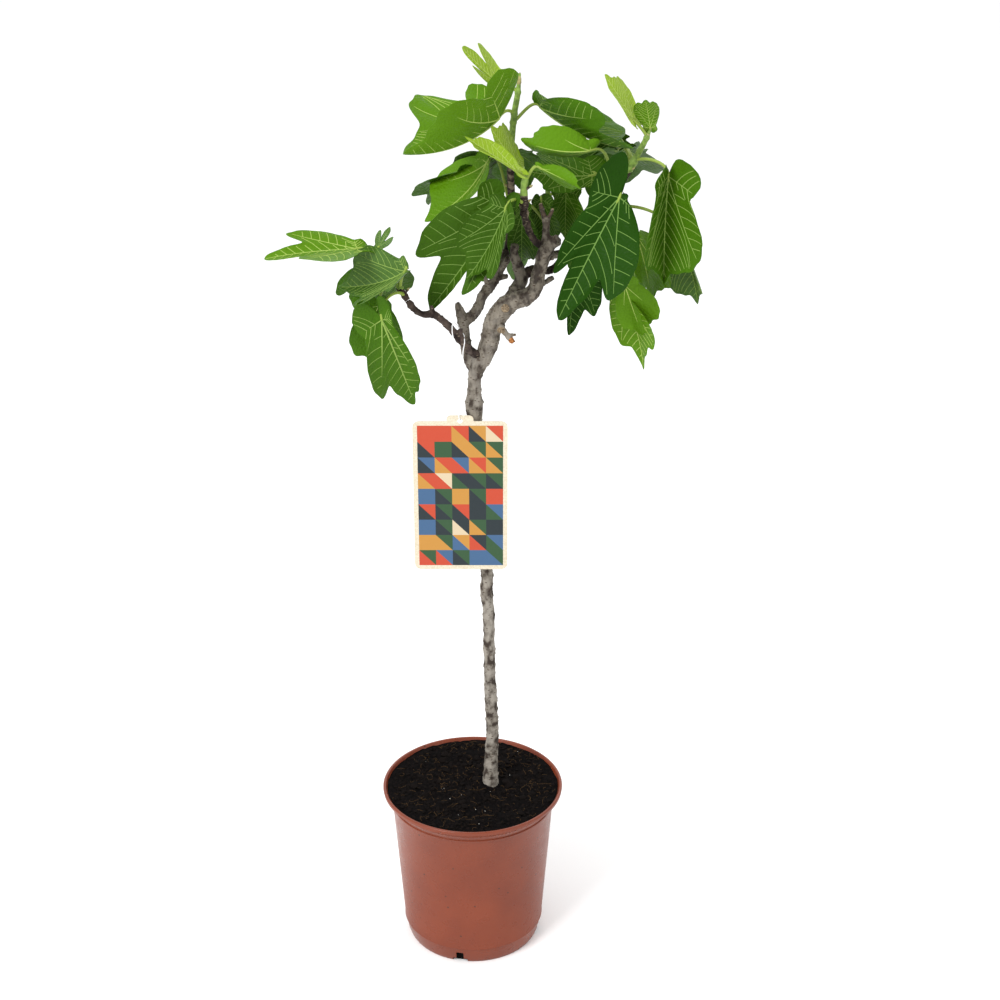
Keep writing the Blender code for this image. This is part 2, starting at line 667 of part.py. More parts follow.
def make_soil(parts):
    """Soil fills the pot up to just under the rim, with a level patch round the trunk."""
    profile = [
        (0.0, SOIL_TOP_HEIGHT),
        (SOIL_FLAT_RADIUS, SOIL_TOP_HEIGHT),
        (POT_RIM_RADIUS - NECK_INSET - SOIL_CLEAR, SOIL_EDGE_HEIGHT),
        (wall_radius(RIDGE_HEIGHT) - POT_WALL - SOIL_CLEAR, RIDGE_HEIGHT),
        (wall_radius(FOOT_RING_HEIGHT) - RIDGE_PROUD - POT_WALL - SOIL_CLEAR, FOOT_RING_HEIGHT),
        (POT_FOOT_RADIUS - LIP_ROUND - SOIL_CLEAR, POT_FLOOR + GAP),
        (0.0, POT_FLOOR + GAP),
    ]
    shape = bmesh.new()
    corners = [shape.verts.new((radius, 0, height)) for radius, height in profile]
    for corner, after in zip(corners, corners[1:]):
        shape.edges.new((corner, after))
    soil = object_from_bmesh("soil", shape, parts)
    turn = soil.modifiers.new("turn", "SCREW")
    turn.steps = POT_SIDES
    turn.render_steps = POT_SIDES
    turn.use_merge_vertices = True
    turn.merge_threshold = WELD
    soil.data.materials.append(plain_material("potting_soil", (0.020, 0.012, 0.008), 0.95))


def add_clear_of(knots, stubs, group):
    """Puts a limb and its stubs, fatter and longer by the gap, into a group of cutters."""
    path = smooth_path(knots, LIMB_STEPS)
    ahead = (path[-1] - path[-2]).to_3d().normalized() * GAP
    path[-1] = path[-1] + Vector((*ahead, 0))
    add_object("clear", tube_mesh("clear", path, LIMB_SIDES, GAP), group)
    for stub in stubs:
        add_object("clear", tube_mesh("clear", stub, STUB_SIDES, GAP), group)


def make_limb(name, parts, bark):
    """A tapering limb with its stubs joined on, cut clear of the limbs that it grows from."""
    knots, stubs, parents = LIMBS[name]
    limb = add_object(name, tube_mesh(name, smooth_path(knots, LIMB_STEPS), LIMB_SIDES, 0), parts)
    if stubs:
        joined = helper_group(name + "_stubs")
        for stub in stubs:
            add_object("stub", tube_mesh("stub", stub, STUB_SIDES, 0), joined)
        apply_boolean(limb, "UNION", joined)
    if parents:
        clear = helper_group(name + "_clear")
        for parent in parents:
            add_clear_of(*LIMBS[parent][:2], clear)
        apply_boolean(limb, "DIFFERENCE", clear)
    finish_surface(limb, bark)


def cut_foot(trunk):
    """Cuts the trunk level just above the soil."""
    below = helper_group("below_soil")
    shape = bmesh.new()
    bmesh.ops.create_cube(shape, size=POT_RIM_RADIUS)
    ground = object_from_bmesh("ground", shape, below)
    ground.location = (TRUNK[0].x, TRUNK[0].y, SOIL_TOP_HEIGHT + GAP - POT_RIM_RADIUS / 2)
    apply_boolean(trunk, "DIFFERENCE", below)


def petal(turn, spread, reach):
    """Reach of a heel lobe at an angle from its own vein."""
    return reach * max(0.0, 1 - abs(turn / spread) ** HEEL_FALL) ** HEEL_ROUND


def blade_reach(angle, leaf):
    """Distance from the blade's base to its margin at an angle from the midrib, midrib = 1.

    The outline is a heart with a sinus beside the tip lobe and a heel lobe behind each side lobe.
    """
    _, sinus, heel = leaf.left if angle > 0 else leaf.right
    turn = abs(angle)
    ease = min(1.0, max(0.0, (turn - SIDE_LOBE_END) / HEEL_EASE))
    ease *= ease * (3 - 2 * ease)
    heart = ((1 + math.cos(turn)) / 2) ** HEART_POWER * (1 - HEEL_DROP * ease)
    heart *= 1 - sinus * math.exp(-((turn - SINUS_ANGLE) / SINUS_SPREAD) ** 2)
    heart *= 1 - TIP_TAPER * math.exp(-((turn - TIP_ANGLE) / SINUS_SPREAD) ** 2)
    lobe = petal(turn - HEEL_ANGLE, HEEL_SPREAD, heel)
    mixed = sum(reach ** MARGIN_SHARPNESS for reach in (heart, lobe, STALK_NOTCH))
    return mixed ** (1 / MARGIN_SHARPNESS)


def blade_frame(leaf):
    """Axis from base to tip, sideways and facing directions, and the length along the midrib."""
    chord = Vector(leaf.tip) - Vector(leaf.base)
    axis = chord.normalized()
    facing = Vector(leaf.face)
    facing = (facing - facing.dot(axis) * axis).normalized()
    half = leaf.bend / 2
    length = chord.length * half / math.sin(half)
    return axis, facing.cross(axis), facing, length


def blade_point(leaf, along, across):
    """Place of a point of the blade: `along` in midrib lengths, `across` in metres."""
    axis, sideways, facing, length = blade_frame(leaf)
    half = leaf.bend / 2
    turn = leaf.bend * max(along, 0.0)
    run = math.sin(turn) / leaf.bend * length + min(along, 0.0) * length
    drop = (math.cos(turn) - 1) / leaf.bend * length
    fold = math.radians(leaf.fold)
    rise = abs(across) * math.sin(fold)
    spread = across * math.cos(fold)
    run, drop = run + rise * math.sin(turn), drop + rise * math.cos(turn)
    forward = run * math.cos(half) - drop * math.sin(half)
    upward = run * math.sin(half) + drop * math.cos(half)
    return Vector(leaf.base) + axis * forward + facing * upward + sideways * spread


def blade_margin(leaf, angle, share=1.0):
    """Place of the point that lies a share of the way from the base out to the margin."""
    half = leaf.left if angle > 0 else leaf.right
    length = (Vector(leaf.tip) - Vector(leaf.base)).length
    reach = blade_reach(angle, leaf) * share
    return blade_point(leaf, reach * math.cos(angle), reach * math.sin(angle) * half[0] * length)


def column_angle(place):
    """Angle of a grid column, -1 to 1 across the blade: columns crowd together at the tip lobe."""
    share = COLUMN_EVEN * place + (1 - COLUMN_EVEN) * place * abs(place) ** 3
    return share * BLADE_OPENING


def add_blade(leaf, group):
    """A leaf blade: a grid wrapped round the blade's base, out to the lobed margin, made thick."""
    shape = bmesh.new()
    bmesh.ops.create_grid(shape, x_segments=BLADE_AROUND, y_segments=BLADE_ALONG, size=1)
    for vert in shape.verts:
        angle = column_angle(vert.co.x)
        vert.co = blade_margin(leaf, angle, (vert.co.y + 1) / 2)
    bmesh.ops.remove_doubles(shape, verts=shape.verts, dist=WELD)
    bmesh.ops.recalc_face_normals(shape, faces=shape.faces)
    blade = object_from_bmesh("blade", shape, group)
    thick = blade.modifiers.new("thick", "SOLIDIFY")
    thick.thickness = BLADE_THICKNESS
    thick.offset = 0
    return blade


def petiole_path(leaf, stem):
    """The stalk's path from inside the stem, over its arch, into the underside of the blade."""
    place = leaf.at * (len(stem) - 1)
    low = min(int(place), len(stem) - 2)
    root = (stem[low].lerp(stem[low + 1], place - low)).to_3d()
    base = Vector(leaf.base)
    inner = blade_point(leaf, PETIOLE_END, 0.0)
    heading = (inner - base).normalized()
    span = (base - root).length
    rise = Vector((0, 0, span * leaf.arch))
    first = root + (base - root) * PETIOLE_EASE + rise
    second = base - heading * span * PETIOLE_EASE + rise * PETIOLE_DROOP
    path = []
    for step in range(PETIOLE_STEPS + 1):
        t = step / PETIOLE_STEPS
        outer = root.lerp(first, t).lerp(first.lerp(second, t), t)
        point = outer.lerp(first.lerp(second, t).lerp(second.lerp(base, t), t), t)
        path.append((*point, PETIOLE_RADIUS * (PETIOLE_FOOT + (1 - PETIOLE_FOOT) * t)))
    path.append((*inner, BLADE_THICKNESS / 2))
    return path


def limb_clearance(point):
    """Distance from a point to the nearest limb's surface."""
    nearest = 1.0
    for limb, stubs, parents in LIMBS.values():
        for start, end in zip(limb, limb[1:]):
            a, b = Vector(start[:3]), Vector(end[:3])
            share = max(0.0, min(1.0, (point - a).dot(b - a) / (b - a).length_squared))
            nearest = min(nearest, (point - a.lerp(b, share)).length - start.radius)
    return nearest


def far_leaves(name, stem):
    """Leaves for the far side of a shoot, turned by the golden angle, that keep to its space."""
    if name not in FAR_LEAVES:
        return []
    wanted, seed, lowest, highest = FAR_LEAVES[name]
    draw = random.Random(seed)
    kept = []
    middles = []
    for turn in range(FAR_TRIES):
        if len(kept) == wanted:
            break
        at = draw.uniform(*FAR_AT)
        root = stem[round(at * (len(stem) - 1))].to_3d()
        azimuth = turn * GOLDEN_ANGLE
        out = Vector((math.cos(azimuth), math.sin(azimuth), 0))
        base = root + out * draw.uniform(*FAR_REACH) + Vector((0, 0, draw.uniform(*FAR_RISE)))
        droop = draw.uniform(*FAR_DROOP)
        downhill = out * math.cos(droop) - Vector((0, 0, math.sin(droop)))
        tip = base + downhill * draw.uniform(*FAR_LENGTH)
        face = out * math.sin(droop) + Vector((draw.uniform(*FAR_SWAY), 0, math.cos(droop)))
        half = (draw.uniform(*FAR_WIDTH), draw.uniform(*FAR_SINUS), FAR_HEEL)
        fold = draw.uniform(*FAR_FOLD)
        leaf = Leaf(at, tuple(base), tuple(tip), tuple(face), half, half, fold, FAR_BEND, FAR_ARCH)
        places = [blade_margin(leaf, angle, share) for share in (0.5, 1.0) for angle in FAR_TESTS]
        inside = all(low <= value <= high for p in places for value, low, high in zip(p, lowest, highest))
        middle = blade_point(leaf, 0.5, 0.0)
        if not inside or min(limb_clearance(p) for p in places) < LIMB_CLEAR:
            continue
        if any((middle - other).length < FAR_CLEAR for other in middles):
            continue
        kept.append(leaf)
        middles.append(middle)
    return kept


def make_foliage(name, parts, green):
    """One shoot: its stem with every stalk and blade joined on."""
    stem = smooth_path(SHOOT_STEMS[name], 2)
    mass = add_object(name, tube_mesh(name, stem, 1, 0), parts)
    joined = helper_group(name + "_pieces")
    for leaf in list(SHOWN_LEAVES[name]) + far_leaves(name, stem):
        add_blade(leaf, joined)
        add_object("petiole", tube_mesh("petiole", petiole_path(leaf, stem), 0, 0), joined)
    apply_boolean(mass, "UNION", joined)
    clear = helper_group(name + "_clear")
    add_clear_of(*LIMBS[CARRIERS[name]][:2], clear)
    apply_boolean(mass, "DIFFERENCE", clear)
    finish_surface(mass, green)


def rounded_card(width, height, corner, all_corners):
    """A thin upright card about the origin, with all corners rounded or only the upper two."""
    shape = bmesh.new()
    bmesh.ops.create_cube(shape, size=1)
    bmesh.ops.scale(shape, verts=shape.verts, vec=(width, LABEL_THICKNESS, height))
    short = [edge for edge in shape.edges if edge.calc_length() < LABEL_THICKNESS * 2]
    rounded = [edge for edge in short if all_corners or edge.verts[0].co.z > 0]
    bmesh.ops.bevel(
        shape, geom=rounded, offset=corner, segments=CARD_SEGMENTS, profile=0.5, affect="EDGES", material=-1
    )
    return shape


def make_label(parts):
    """A thin card with rounded corners, a tab on top and a hole for its loop."""
    shape = rounded_card(LABEL_WIDTH, LABEL_HEIGHT, LABEL_CORNER, True)
    bmesh.ops.translate(shape, verts=shape.verts, vec=LABEL_TOP - Vector((0, 0, LABEL_HEIGHT / 2)))
    label = object_from_bmesh("label", shape, parts)
    tab_group = helper_group("label_tab")
    shape = rounded_card(LABEL_TAB_WIDTH, LABEL_TAB_HEIGHT * 2, LABEL_TAB_CORNER, False)
    bmesh.ops.translate(shape, verts=shape.verts, vec=LABEL_TOP)
    object_from_bmesh("tab", shape, tab_group)
    apply_boolean(label, "UNION", tab_group)
    hole_group = helper_group("label_hole")
    shape = bmesh.new()
    bmesh.ops.create_cone(
        shape, cap_ends=True, segments=HOLE_SIDES, radius1=HOLE_RADIUS, radius2=HOLE_RADIUS, depth=HOLE_RADIUS
    )
    hole = object_from_bmesh("hole", shape, hole_group)
    hole.location = LABEL_TOP
    hole.rotation_euler.x = math.pi / 2
    apply_boolean(label, "DIFFERENCE", hole_group)
    finish_surface(label, plain_material("printed_card", (0.75, 0.62, 0.45), 0.4))


def make_loop(parts):
    """The label's elastic loop: through the hole, up both strands and over the left bough."""
    clear = LABEL_THICKNESS / 2 + LOOP_RADIUS + GAP
    x, y, z = LABEL_TOP
    above = z + LABEL_TAB_HEIGHT
    route = (
        (x, y, z + 0.0010),
        (x - 0.0003, y - clear, z + 0.0013),
        (x - 0.0008, y - clear - 0.0004, z + 0.0035),
        (x - 0.0010, y - clear, above),
        (-0.0147, -0.0262, 0.6850),
        (-0.0160, -0.0262, 0.6930),
        (-0.0160, -0.0252, 0.6985),
        (-0.0150, -0.0205, 0.7012),
        (-0.0115, -0.0145, 0.6958),
        (-0.0050, -0.0165, 0.6864),
        (-0.0044, -0.0220, 0.6812),
        (-0.0060, -0.0222, 0.6720),
        (x + 0.0010, y + clear, above),
        (x + 0.0008, y + clear + 0.0004, z + 0.0035),
        (x + 0.0003, y + clear, z + 0.0013),
    )
    knots = [Knot(*place, LOOP_RADIUS) for place in route]
    loop = add_object("label_loop", tube_mesh("label_loop", knots, 0, 0, cyclic=True), parts)
    finish_surface(loop, plain_material("white_elastic", (0.85, 0.85, 0.85), 0.5))


def main():
    parts = start_scene()
    bark = plain_material("grey_bark", (0.30, 0.26, 0.20), 0.85)
    young_bark = plain_material("brown_bark", (0.09, 0.055, 0.045), 0.7)
    green = plain_material("fig_leaf", (0.085, 0.20, 0.012), 0.5)
    make_pot(parts)
    make_soil(parts)
    for name in LIMBS:
        make_limb(name, parts, young_bark if name in DARK_LIMBS else bark)
    cut_foot(bpy.data.objects["trunk"])
    for name in SHOOT_STEMS:
        make_foliage(name, parts, green)
    make_label(parts)
    make_loop(parts)


main()
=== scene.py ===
# %% [markdown]
# # A young fig tree in a nursery pot
#
# This lesson dresses a small potted fig: a turned plastic pot, crumbly soil, knobbly grey wood,
# big lobed leaves with raised veins and a card label on an elastic loop.
#
# The solids of the tree come first, because every piece made here has to sit where they are.

import json
import math
import random
from collections import namedtuple

import bmesh
import bpy
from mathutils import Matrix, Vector, kdtree, noise

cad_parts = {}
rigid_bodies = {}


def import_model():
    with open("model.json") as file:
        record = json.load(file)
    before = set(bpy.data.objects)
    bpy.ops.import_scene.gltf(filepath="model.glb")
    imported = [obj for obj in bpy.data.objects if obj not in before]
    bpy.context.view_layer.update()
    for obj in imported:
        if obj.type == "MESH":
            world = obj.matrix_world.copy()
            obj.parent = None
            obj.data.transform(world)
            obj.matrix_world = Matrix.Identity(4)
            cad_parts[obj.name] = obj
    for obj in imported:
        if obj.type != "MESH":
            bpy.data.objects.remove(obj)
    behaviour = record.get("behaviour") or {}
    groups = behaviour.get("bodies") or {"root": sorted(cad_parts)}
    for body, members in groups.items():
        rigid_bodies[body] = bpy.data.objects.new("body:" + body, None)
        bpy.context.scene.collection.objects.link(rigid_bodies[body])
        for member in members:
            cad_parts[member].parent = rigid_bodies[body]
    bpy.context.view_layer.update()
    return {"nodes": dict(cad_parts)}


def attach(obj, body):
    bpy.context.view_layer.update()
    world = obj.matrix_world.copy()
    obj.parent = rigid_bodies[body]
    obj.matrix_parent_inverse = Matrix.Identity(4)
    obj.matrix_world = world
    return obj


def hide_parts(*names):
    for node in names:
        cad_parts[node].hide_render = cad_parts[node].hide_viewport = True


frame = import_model()
BODY = "root"
WELD = 0.000001
SHADER = "Principled BSDF"

# %% [markdown]
# ## Camera
#
# The picture looks down on the tree a little, so the rim of the pot shows as an open oval while
# the crown is seen almost level. A long lens keeps the pot's sides nearly upright.

# %% Camera
CAMERA_PLACE = (0.029, -1.700, 1.263)
CAMERA_TILT = math.radians(66.07)
CAMERA_LENS = 67.5
CAMERA_SIGHT = 20


def new_object(name, data):
    """An object that stands in the scene."""
    made = bpy.data.objects.new(name, data)
    bpy.context.scene.collection.objects.link(made)
    return made


camera = new_object("camera", bpy.data.cameras.new("camera"))
camera.location = CAMERA_PLACE
camera.rotation_euler = (CAMERA_TILT, 0, 0)
camera.data.lens = CAMERA_LENS
camera.data.clip_end = CAMERA_SIGHT
bpy.context.scene.camera = camera
print("Camera at", tuple(camera.location))

# %% [markdown]
# ## Floor and light
#
# The tree stands in a bright white studio. A wide pale floor carries its soft shadow. One big
# lamp on the left gives the shape, and a weaker one on the right and a pale sky fill the shadows.

# %% Floor and light
FLOOR_SIZE = 14.0
FLOOR_GREY = (0.96, 0.96, 0.96)
FLOOR_ROUGHNESS = 0.9
SKY_GREY = (1.0, 1.0, 1.0)
SKY_STRENGTH = 1.05
CROWN_MIDDLE = (0.03, 0.0, 0.65)
LAMPS = {
    "key_lamp": ((-1.6, -1.9, 2.4), 1.2, 75),
    "fill_lamp": ((2.0, -1.4, 1.5), 2.0, 6),
    "back_lamp": ((0.4, 2.0, 2.2), 1.6, 10),
}


def mesh_of(name, shape):
    """The mesh that a finished bmesh becomes."""
    mesh = bpy.data.meshes.new(name)
    shape.to_mesh(mesh)
    shape.free()
    return mesh


def add_lamp(name, place, size, power):
    """A square area lamp that points at the crown."""
    lamp = new_object(name, bpy.data.lights.new(name, "AREA"))
    lamp.data.size = size
    lamp.data.energy = power
    lamp.location = place
    lamp.rotation_euler = (Vector(CROWN_MIDDLE) - Vector(place)).to_track_quat("-Z", "Y").to_euler()


shape = bmesh.new()
bmesh.ops.create_grid(shape, x_segments=1, y_segments=1, size=FLOOR_SIZE / 2)
floor = new_object("floor", mesh_of("floor", shape))
floor_paint = bpy.data.materials.new("studio_floor")
floor_paint.use_nodes = True
floor_shader = floor_paint.node_tree.nodes[SHADER]
floor_shader.inputs["Base Color"].default_value = (*FLOOR_GREY, 1)
floor_shader.inputs["Roughness"].default_value = FLOOR_ROUGHNESS
floor.data.materials.append(floor_paint)

for name, (place, size, power) in LAMPS.items():
    add_lamp(name, place, size, power)

world = bpy.data.worlds.new("pale_sky")
world.use_nodes = True
sky = world.node_tree.nodes["Background"]
sky.inputs["Color"].default_value = (*SKY_GREY, 1)
sky.inputs["Strength"].default_value = SKY_STRENGTH
bpy.context.scene.world = world
bpy.context.scene.view_settings.view_transform = "Standard"
print("Lamps:", list(LAMPS))

# %% [markdown]
# ## Helpers for pieces
#
# Every piece below starts as a bmesh, which is Blender's mesh under construction. When its shape
# is ready it becomes an object at the origin, shaded smooth but with crisp edges left crisp, and
# rides on the tree's one body.

# %% Finished pieces
SHARP = math.radians(50)


def finished_piece(name, shape, finishes, slot, *nodes):
    """The object made from a bmesh: its finishes and the solids that it stands for.

    `slot` is not used.
    """
    for face in shape.faces:
        face.smooth = True
    mesh = mesh_of(name, shape)
    for finish in finishes:
        mesh.materials.append(finish)
    mesh.set_sharp_from_angle(angle=SHARP)
    piece = new_object(name, mesh)
    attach(piece, BODY)
    if nodes:
        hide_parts(*nodes)
    print(name, "has", len(mesh.polygons), "faces")


def modified_shape(shape, kind, **settings):
    """A bmesh with one of Blender's modifiers worked into it."""
    mesh = mesh_of("raw", shape)
    carrier = new_object("raw", mesh)
    modifier = carrier.modifiers.new("shaping", kind)
    for setting, value in settings.items():
        setattr(modifier, setting, value)
    graph = bpy.context.evaluated_depsgraph_get()
    worked = bpy.data.meshes.new_from_object(carrier.evaluated_get(graph))
    made = bmesh.new()
    made.from_mesh(worked)
    bpy.data.objects.remove(carrier)
    bpy.data.meshes.remove(mesh)
    bpy.data.meshes.remove(worked)
    return made


def add_shape(whole, part, finish_index):
    """Adds one bmesh to another, with all its faces in one finish."""
    for face in part.faces:
        face.material_index = finish_index
    mesh = mesh_of("part", part)
    whole.from_mesh(mesh)
    bpy.data.meshes.remove(mesh)


def open_edges(shape):
    """The edges of a bmesh that only one face uses."""
    return [edge for edge in shape.edges if edge.is_boundary]


def close_shape(shape):
    """Fills the open ends of a bmesh and turns its faces outwards."""
    bmesh.ops.holes_fill(shape, edges=open_edges(shape))
    bmesh.ops.recalc_face_normals(shape, faces=shape.faces)


def spun_shape(profile, steps):
    """A row of (radius, height) corners spun once round the upright axis."""
    shape = bmesh.new()
    corners = [shape.verts.new((radius, 0, height)) for radius, height in profile]
    lines = [shape.edges.new(pair) for pair in zip(corners, corners[1:])]
    bmesh.ops.spin(
        shape, geom=corners + lines, cent=(0, 0, 0), axis=(0, 0, 1), angle=math.tau,
        steps=steps, use_merge=True,
    )
    bmesh.ops.remove_doubles(shape, verts=shape.verts, dist=WELD)
    return shape


print("A piece's edges stay crisp above", round(math.degrees(SHARP)), "degrees")

# %% [markdown]
# ## Helpers for tubes
#
# Limbs, stalks, veins and fibres are all tubes that bend and taper. A path is a row of knots,
# each the x, y and z of a place and a radius, drawn through by a smooth curve. The tube itself
# is a flat grid rolled round that path: its long sides meet and are welded, and its open ends
# are filled.

# %% Tubes
FIRST_ACROSS = (0.31, 0.17, 0.93)
PARALLEL = 0.01


def smooth_path(knots, steps=None, spacing=None):
    """Knots along a Catmull-Rom curve, with `steps` to each span or one every `spacing` metres."""
    ends = (knots[0],) + tuple(knots) + (knots[-1],)
    path = []
    for i in range(1, len(ends) - 2):
        before, start, end, after = (Vector(knot) for knot in ends[i - 1:i + 3])
        count = steps or max(1, math.ceil((end.to_3d() - start.to_3d()).length / spacing))
        for step in range(count):
            t = step / count
            square = 2 * before - 5 * start + 4 * end - after
            cube = 3 * start - before - 3 * end + after
            path.append((2 * start + (end - before) * t + square * t ** 2 + cube * t ** 3) / 2)
    path.append(Vector(knots[-1]))
    return path


def path_frames(path):
    """Each point of a path with two directions across it, carried along without twist."""
    centres = [Vector(point[:3]) for point in path]
    frames = []
    across = Vector(FIRST_ACROSS)
    for i, centre in enumerate(centres):
        ahead = centres[min(i + 1, len(centres) - 1)] - centres[max(i - 1, 0)]
        ahead.normalize()
        across = across - across.dot(ahead) * ahead
        if across.length < PARALLEL:
            across = ahead.orthogonal()
        across.normalize()
        frames.append((centre, across.copy(), ahead.cross(across)))
    return frames


def add_tube(shape, path, sides, finish_index=0):
    """Rolls a grid round a path of (x, y, z, radius) points."""
    steps = len(path) - 1
    frames = path_frames(path)
    made = bmesh.ops.create_grid(shape, x_segments=steps, y_segments=sides, size=1)["verts"]
    for vert in made:
        i = round((vert.co.x + 1) / 2 * steps)
        turn = (vert.co.y + 1) / 2 * math.tau
        centre, across, upward = frames[i]
        vert.co = centre + (across * math.cos(turn) + upward * math.sin(turn)) * path[i][3]
    for face in {face for vert in made for face in vert.link_faces}:
        face.material_index = finish_index


def close_tubes(shape):
    """Welds the seams of rolled grids, fills their ends and turns their faces outwards."""
    bmesh.ops.remove_doubles(shape, verts=shape.verts, dist=WELD)
    close_shape(shape)


print("Seams closer than", WELD, "m are welded")

# %% [markdown]
# ## Helpers for finishes
#
# A real surface is never one flat colour. Each finish starts with a colour and a roughness, and
# then gets noise that shifts the colour, the gloss or the relief a little. All noise is placed by
# the object's own coordinates, in metres, so its scale is a real one.

# %% Finishes and fields
def add_node(finish, kind, **inputs):
    """A new shader node. Each input gets a value, or a link from another node's output."""
    node = finish.node_tree.nodes.new("ShaderNode" + kind)
    for name, value in inputs.items():
        socket = node.inputs[name.replace("_", " ")]
        if isinstance(value, bpy.types.NodeSocket):
            finish.node_tree.links.new(value, socket)
        else:
            socket.default_value = value
    return node


def lead(finish, output, name):
    """Leads an output into a socket of the finish's shader."""
    finish.node_tree.links.new(output, finish.node_tree.nodes[SHADER].inputs[name])


def new_finish(name, colour, roughness, sheen=0.3):
    """A finish of one colour, ready for its detail. Less sheen mirrors less of the pale studio."""
    made = bpy.data.materials.new(name)
    made.use_nodes = True
    shader = made.node_tree.nodes[SHADER]
    shader.inputs["Specular IOR Level"].default_value = sheen
    shader.inputs["Base Color"].default_value = (*colour, 1)
    shader.inputs["Roughness"].default_value = roughness
    return made


def stretched_place(finish, stretch):
    """The object's own coordinates, stretched along its axes."""
    place = add_node(finish, "TexCoord").outputs["Object"]
    return add_node(finish, "Mapping", Vector=place, Scale=stretch).outputs["Vector"]


def noise_field(finish, scale, detail=3.0, stretch=(1, 1, 1)):
    """The value of a noise texture on the object's own coordinates."""
    place = stretched_place(finish, stretch)
    return add_node(finish, "TexNoise", Vector=place, Scale=scale, Detail=detail).outputs["Fac"]


def spot_field(finish, scale, stretch=(1, 1, 1)):
    """The distance to the nearest of many scattered points."""
    place = stretched_place(finish, stretch)
    return add_node(finish, "TexVoronoi", Vector=place, Scale=scale).outputs["Distance"]


def ranged(finish, field, low, high, first=0.0, last=1.0):
    """A field moved from one range of values to another and cut off beyond its ends."""
    spread = add_node(
        finish, "MapRange", Value=field, From_Min=low, From_Max=high, To_Min=first, To_Max=last
    )
    return spread.outputs["Result"]


def height_field(finish, low, high):
    """0 below one height of the object and 1 above another."""
    place = add_node(finish, "TexCoord").outputs["Object"]
    return ranged(finish, add_node(finish, "SeparateXYZ", Vector=place).outputs["Z"], low, high)


print("Fields read the object's own coordinates")

# %% [markdown]
# A field is only a number at each place. A ramp turns it into colours, a mix lays one colour
# over another, and a bump turns it into relief. The last helper puts the usual set together.

# %% Colour, gloss and relief
MIX_SHARE, MIX_FIRST, MIX_SECOND, MIX_RESULT = 0, 6, 7, 2
NOISE_RANGE = (0.3, 0.7)


def graded(finish, field, *stops):
    """A field turned into colours by (place, colour) stops."""
    ramp = add_node(finish, "ValToRGB", Fac=field)
    band = ramp.color_ramp
    while len(band.elements) < len(stops):
        band.elements.new(0.5)
    for element, (place, colour) in zip(band.elements, stops):
        element.position = place
        element.color = (*colour, 1)
    return ramp.outputs["Color"]


def near_spots(finish, field, inner, outer):
    """1 nearer than `inner` to a scattered point, 0 farther than `outer`."""
    return graded(finish, field, (inner, (1, 1, 1)), (outer, (0, 0, 0)))


def mixed(finish, share, first, second):
    """Two colours mixed by a field. The second may be one plain colour."""
    mix = add_node(finish, "Mix")
    mix.data_type = "RGBA"
    for index, value in ((MIX_SHARE, share), (MIX_FIRST, first), (MIX_SECOND, second)):
        if isinstance(value, tuple):
            mix.inputs[index].default_value = (*value, 1)
        else:
            finish.node_tree.links.new(value, mix.inputs[index])
    return mix.outputs[MIX_RESULT]


def vary_gloss(finish, field, smooth, rough):
    """Roughness between two values, by a field."""
    lead(finish, ranged(finish, field, *NOISE_RANGE, smooth, rough), "Roughness")


def emboss(finish, field, depth, strength=1.0):
    """Relief of a depth in metres, by a field."""
    bump = add_node(finish, "Bump", Distance=depth, Strength=strength, Height=field)
    lead(finish, bump.outputs["Normal"], "Normal")


def grained_finish(name, colour, roughness, relief, sheen=0.3, grain=None, tones=()):
    """A finish with relief from noise, and with tones by a coarser noise where they are given.

    `relief` is the noise's scale and detail with its depth and strength, `grain` is the scale and
    detail of the noise behind the tones.
    """
    made = new_finish(name, colour, roughness, sheen)
    if tones:
        lead(made, graded(made, noise_field(made, *grain), *tones), "Base Color")
    scale, detail, depth, strength = relief
    emboss(made, noise_field(made, scale, detail), depth, strength)
    return made


print("Noise between", NOISE_RANGE, "sets the gloss")

# %% [markdown]
# ## Pot
#
# A nursery pot is one thin turned shell of terracotta-coloured plastic. Its rolled lip stands
# proud, a ridge runs under the neck and a shallower ring sits above the foot. Half of its
# cross-section is drawn as a row of corners and spun once round, and four drainage notches are
# then cut out of the bottom edge.

# %% Pot sizes
POT_HEIGHT = 0.180
POT_RIM_RADIUS = 0.095
POT_BODY_RADIUS = 0.0865
POT_FOOT_RADIUS = 0.0685
POT_WALL = 0.0018
POT_FLOOR = 0.0022
LIP_DROP = 0.0045
LIP_ROUND = 0.0010
LIP_WIDTH = 0.0032
LIP_STEPS = 6
NECK_INSET = 0.0060
EDGE_STEP = 0.0025
RIDGE_HEIGHT = 0.164
FOOT_RING_HEIGHT = 0.019
RIDGE_PROUD = 0.0009
FOOT_TURN = 0.0045
POT_STEPS = 144
DRAIN_COUNT = 4
DRAIN_TURN = math.radians(-101)
DRAIN_WIDE = (0.020, 0.016, 0.009)
DRAIN_TALL = (0.020, 0.008, 0.026)
DRAIN_ROUND = 0.0012
SOIL_EDGE_HEIGHT = 0.1735
SOIL_TOP_HEIGHT = 0.1755


def wall_radius(height):
    """Outer radius of the pot's plain wall at a height."""
    low = POT_FOOT_RADIUS + FOOT_TURN
    return low + (POT_BODY_RADIUS - low) * height / POT_HEIGHT


